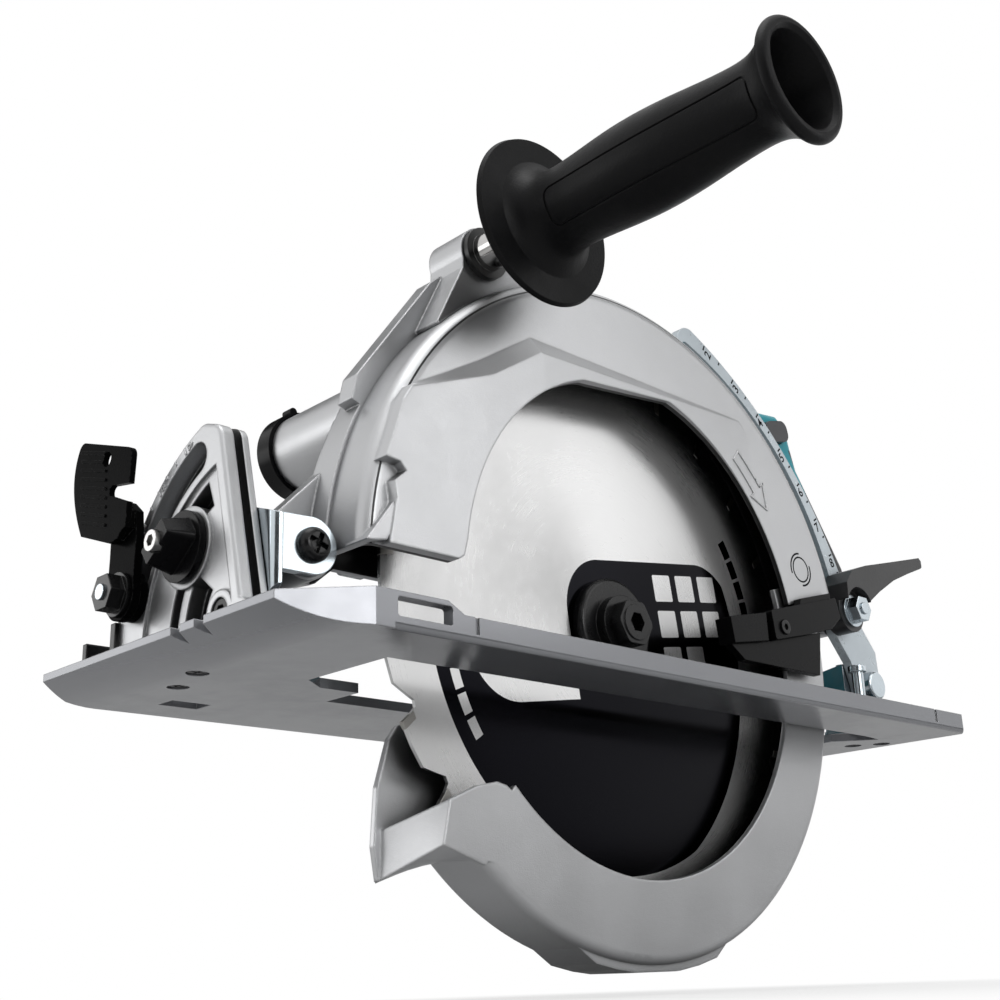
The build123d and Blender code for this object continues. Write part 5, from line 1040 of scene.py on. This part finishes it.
class Studio(Operator):
    """Floor, lamps, dark cards, pale surround and the camera"""

    bl_idname = "saw.studio"
    bl_label = "Studio"

    floor_radius, floor_sides = 9.0, 96
    shade_start, shade_end = 0.1, 0.4  # where the floor's shadow fades out, from the saw
    shade_glow = 0.7                   # share of plain white within the shadow

    # Name, place and size; everything is aimed at the middle of the saw
    middle = (0.0, 0.0, 0.05)
    lamps = (
        ("key", (0.68, -1.0, 0.66), (0.58, 0.66)),
        ("front", (-0.2, -1.35, 0.45), (0.5, 0.5)),
        ("fill", (-1.05, 0.95, 0.3), (1.25, 0.46)),
        ("top", (-0.3, -0.2, 1.5), (1.0, 0.8)),
    )
    cards = (
        ("camera", (-1.1, -1.1, 0.1), (1.2, 1.2)),
        ("top", (1.25, -0.75, 1.2), (0.9, 0.9)),
        ("side", (1.25, -1.1, -0.07), (1.5, 0.3)),
        ("low", (0.77, -1.35, 0.03), (0.53, 0.62)),
        ("back", (0.35, 1.15, 1.15), (1.1, 0.8)),
    )

    # The photograph's viewpoint, in millimetres, and its yaw, pitch and roll in degrees
    camera_place = (-455.33, -403.18, -112.17)
    camera_turns = (44.196, 19.094, -2.036)
    focal_pixels, picture_pixels = 1401.0, 1000.0
    sensor_width = 36.0

    def floor(self, context):
        """A pale floor that turns to white away from the saw's shadow."""
        studio = context.scene.saw_studio
        work = bmesh.new()
        bmesh.ops.create_circle(
            work, cap_ends=True, segments=self.floor_sides, radius=self.floor_radius)
        mesh = finish_mesh("floor", work)
        floor = bpy.data.objects.new("floor", mesh)
        floor.location.z = studio.floor_z
        context.scene.collection.objects.link(floor)
        material = bpy.data.materials.new("pale_floor")
        material.use_nodes = True
        g = Graph(material.node_tree)
        material.node_tree.nodes.clear()
        matt = g.node("ShaderNodeBsdfDiffuse")
        darker = tuple(c * 0.97 for c in studio.floor_tone)
        grain = g.noise(g.place(), 900.0)
        g.put(matt.inputs["Color"], g.mix(grain, darker, studio.floor_tone))
        glow = g.node("ShaderNodeEmission")
        glow.inputs["Color"].default_value = WHITE
        path = g.node("ShaderNodeLightPath")
        away = g.ramp(g.vector("LENGTH", g.place()), self.shade_start, self.shade_end)
        far = g.math("MULTIPLY_ADD", away, 1.0 - self.shade_glow, self.shade_glow)
        both = g.node("ShaderNodeMixShader")
        g.put(both.inputs[0], g.math("MULTIPLY", far, path.outputs["Is Camera Ray"]))
        g.put(both.inputs[1], matt.outputs[0])
        g.put(both.inputs[2], glow.outputs[0])
        end = g.node("ShaderNodeOutputMaterial")
        g.put(end.inputs["Surface"], both.outputs[0])
        mesh.materials.append(material)

    def surround(self, context):
        """A plain surround: white to the eye and in reflections, dimmer as light."""
        world = bpy.data.worlds.new("studio")
        context.scene.world = world
        world.use_nodes = True
        g = Graph(world.node_tree)
        world.node_tree.nodes.clear()
        both = g.node("ShaderNodeMixShader")
        for socket, strength in ((both.inputs[1], context.scene.saw_studio.sky),
                                 (both.inputs[2], 1.0)):
            plain = g.node("ShaderNodeBackground")
            plain.inputs["Color"].default_value = WHITE
            plain.inputs["Strength"].default_value = strength
            g.put(socket, plain.outputs[0])
        path = g.node("ShaderNodeLightPath")
        seen = g.math("MAXIMUM", path.outputs["Is Camera Ray"], path.outputs["Is Glossy Ray"])
        seen = g.math("MAXIMUM", seen, path.outputs["Is Transmission Ray"])
        g.put(both.inputs[0], seen)
        end = g.node("ShaderNodeOutputWorld")
        g.put(end.inputs["Surface"], both.outputs[0])

    def lamp(self, context, name, place, size, power):
        """A soft rectangular lamp."""
        data = bpy.data.lights.new(name, "AREA")
        data.shape = "RECTANGLE"
        data.size, data.size_y = size
        data.energy = power
        lamp = bpy.data.objects.new(name, data)
        aim(lamp, place, self.middle)
        context.scene.collection.objects.link(lamp)

    def card(self, context, name, place, size):
        """A dark card that only reflections see."""
        work = bmesh.new()
        bmesh.ops.create_grid(work, x_segments=1, y_segments=1, size=0.5)
        mesh = finish_mesh(name, work)
        card = bpy.data.objects.new(name, mesh)
        aim(card, place, self.middle)
        card.scale = (*size, 1)
        card.visible_camera = False
        card.visible_diffuse = False
        card.visible_shadow = False
        card.visible_transmission = False
        context.scene.collection.objects.link(card)
        material = bpy.data.materials.get("dark_card")
        if material is None:
            material = bpy.data.materials.new("dark_card")
            material.use_nodes = True
            shader = material.node_tree.nodes["Principled BSDF"]
            shader.inputs["Base Color"].default_value = (*neutral(0.02), 1)
            shader.inputs["Roughness"].default_value = 0.9
        mesh.materials.append(material)

    def camera(self, context):
        """A camera at the photograph's viewpoint."""
        yaw, pitch, roll = (radians(turn) for turn in self.camera_turns)
        ahead = Vector((sin(yaw) * cos(pitch), cos(yaw) * cos(pitch), sin(pitch)))
        right = Vector((cos(yaw), -sin(yaw), 0))
        up = right.cross(ahead)
        turned_right = right * cos(roll) + up * sin(roll)
        turned_up = up * cos(roll) - right * sin(roll)
        data = bpy.data.cameras.new("camera")
        data.sensor_width = self.sensor_width
        data.sensor_fit = "HORIZONTAL"
        data.lens = self.focal_pixels / self.picture_pixels * self.sensor_width
        data.clip_start = 0.01
        data.clip_end = 50.0
        camera = bpy.data.objects.new("camera", data)
        matrix = Matrix((turned_right, turned_up, -ahead)).transposed().to_4x4()
        matrix.translation = Vector(self.camera_place) * MM
        camera.matrix_world = matrix
        context.scene.collection.objects.link(camera)
        context.scene.camera = camera

    def execute(self, context):
        context.scene.view_settings.view_transform = "Standard"
        self.floor(context)
        self.surround(context)
        self.camera(context)
        for name, place, size in self.lamps:
            power = getattr(context.scene.saw_studio, name)
            self.lamp(context, name + "_lamp", place, size, power)
        for name, place, size in self.cards:
            self.card(context, "dark_card_" + name, place, size)
        return {"FINISHED"}


STEPS = (
    CastMetal, Sole, ZincPlate, Steel, Blade, Plastics, Rubber, Lamp,
    DepthScale, BevelScale, CaseMarks, Studio,
)


class SawPanel(Panel):
    """Lists the saw's sizes, colours and steps"""

    bl_idname = "VIEW3D_PT_saw"
    bl_label = "Circular Saw"
    bl_space_type = "VIEW_3D"
    bl_region_type = "UI"
    bl_category = "Saw"

    def draw(self, context):
        scene = context.scene
        for settings in (scene.saw_finishes, scene.saw_marks, scene.saw_studio):
            column = self.layout.column(align=True)
            for name in settings.__annotations__:
                column.prop(settings, name)
        for step in STEPS:
            self.layout.operator(step.bl_idname)


CLASSES = (SawFinishes, SawMarks, SawStudio, *STEPS, SawPanel)


def register():
    for item in CLASSES:
        bpy.utils.register_class(item)
    bpy.types.Scene.saw_finishes = PointerProperty(type=SawFinishes)
    bpy.types.Scene.saw_marks = PointerProperty(type=SawMarks)
    bpy.types.Scene.saw_studio = PointerProperty(type=SawStudio)


def unregister():
    del bpy.types.Scene.saw_studio
    del bpy.types.Scene.saw_marks
    del bpy.types.Scene.saw_finishes
    for item in reversed(CLASSES):
        bpy.utils.unregister_class(item)


def main():
    register()
    for step in STEPS:
        space, name = step.bl_idname.split(".")
        getattr(getattr(bpy.ops, space), name)()


if __name__ == "__main__":
    main()
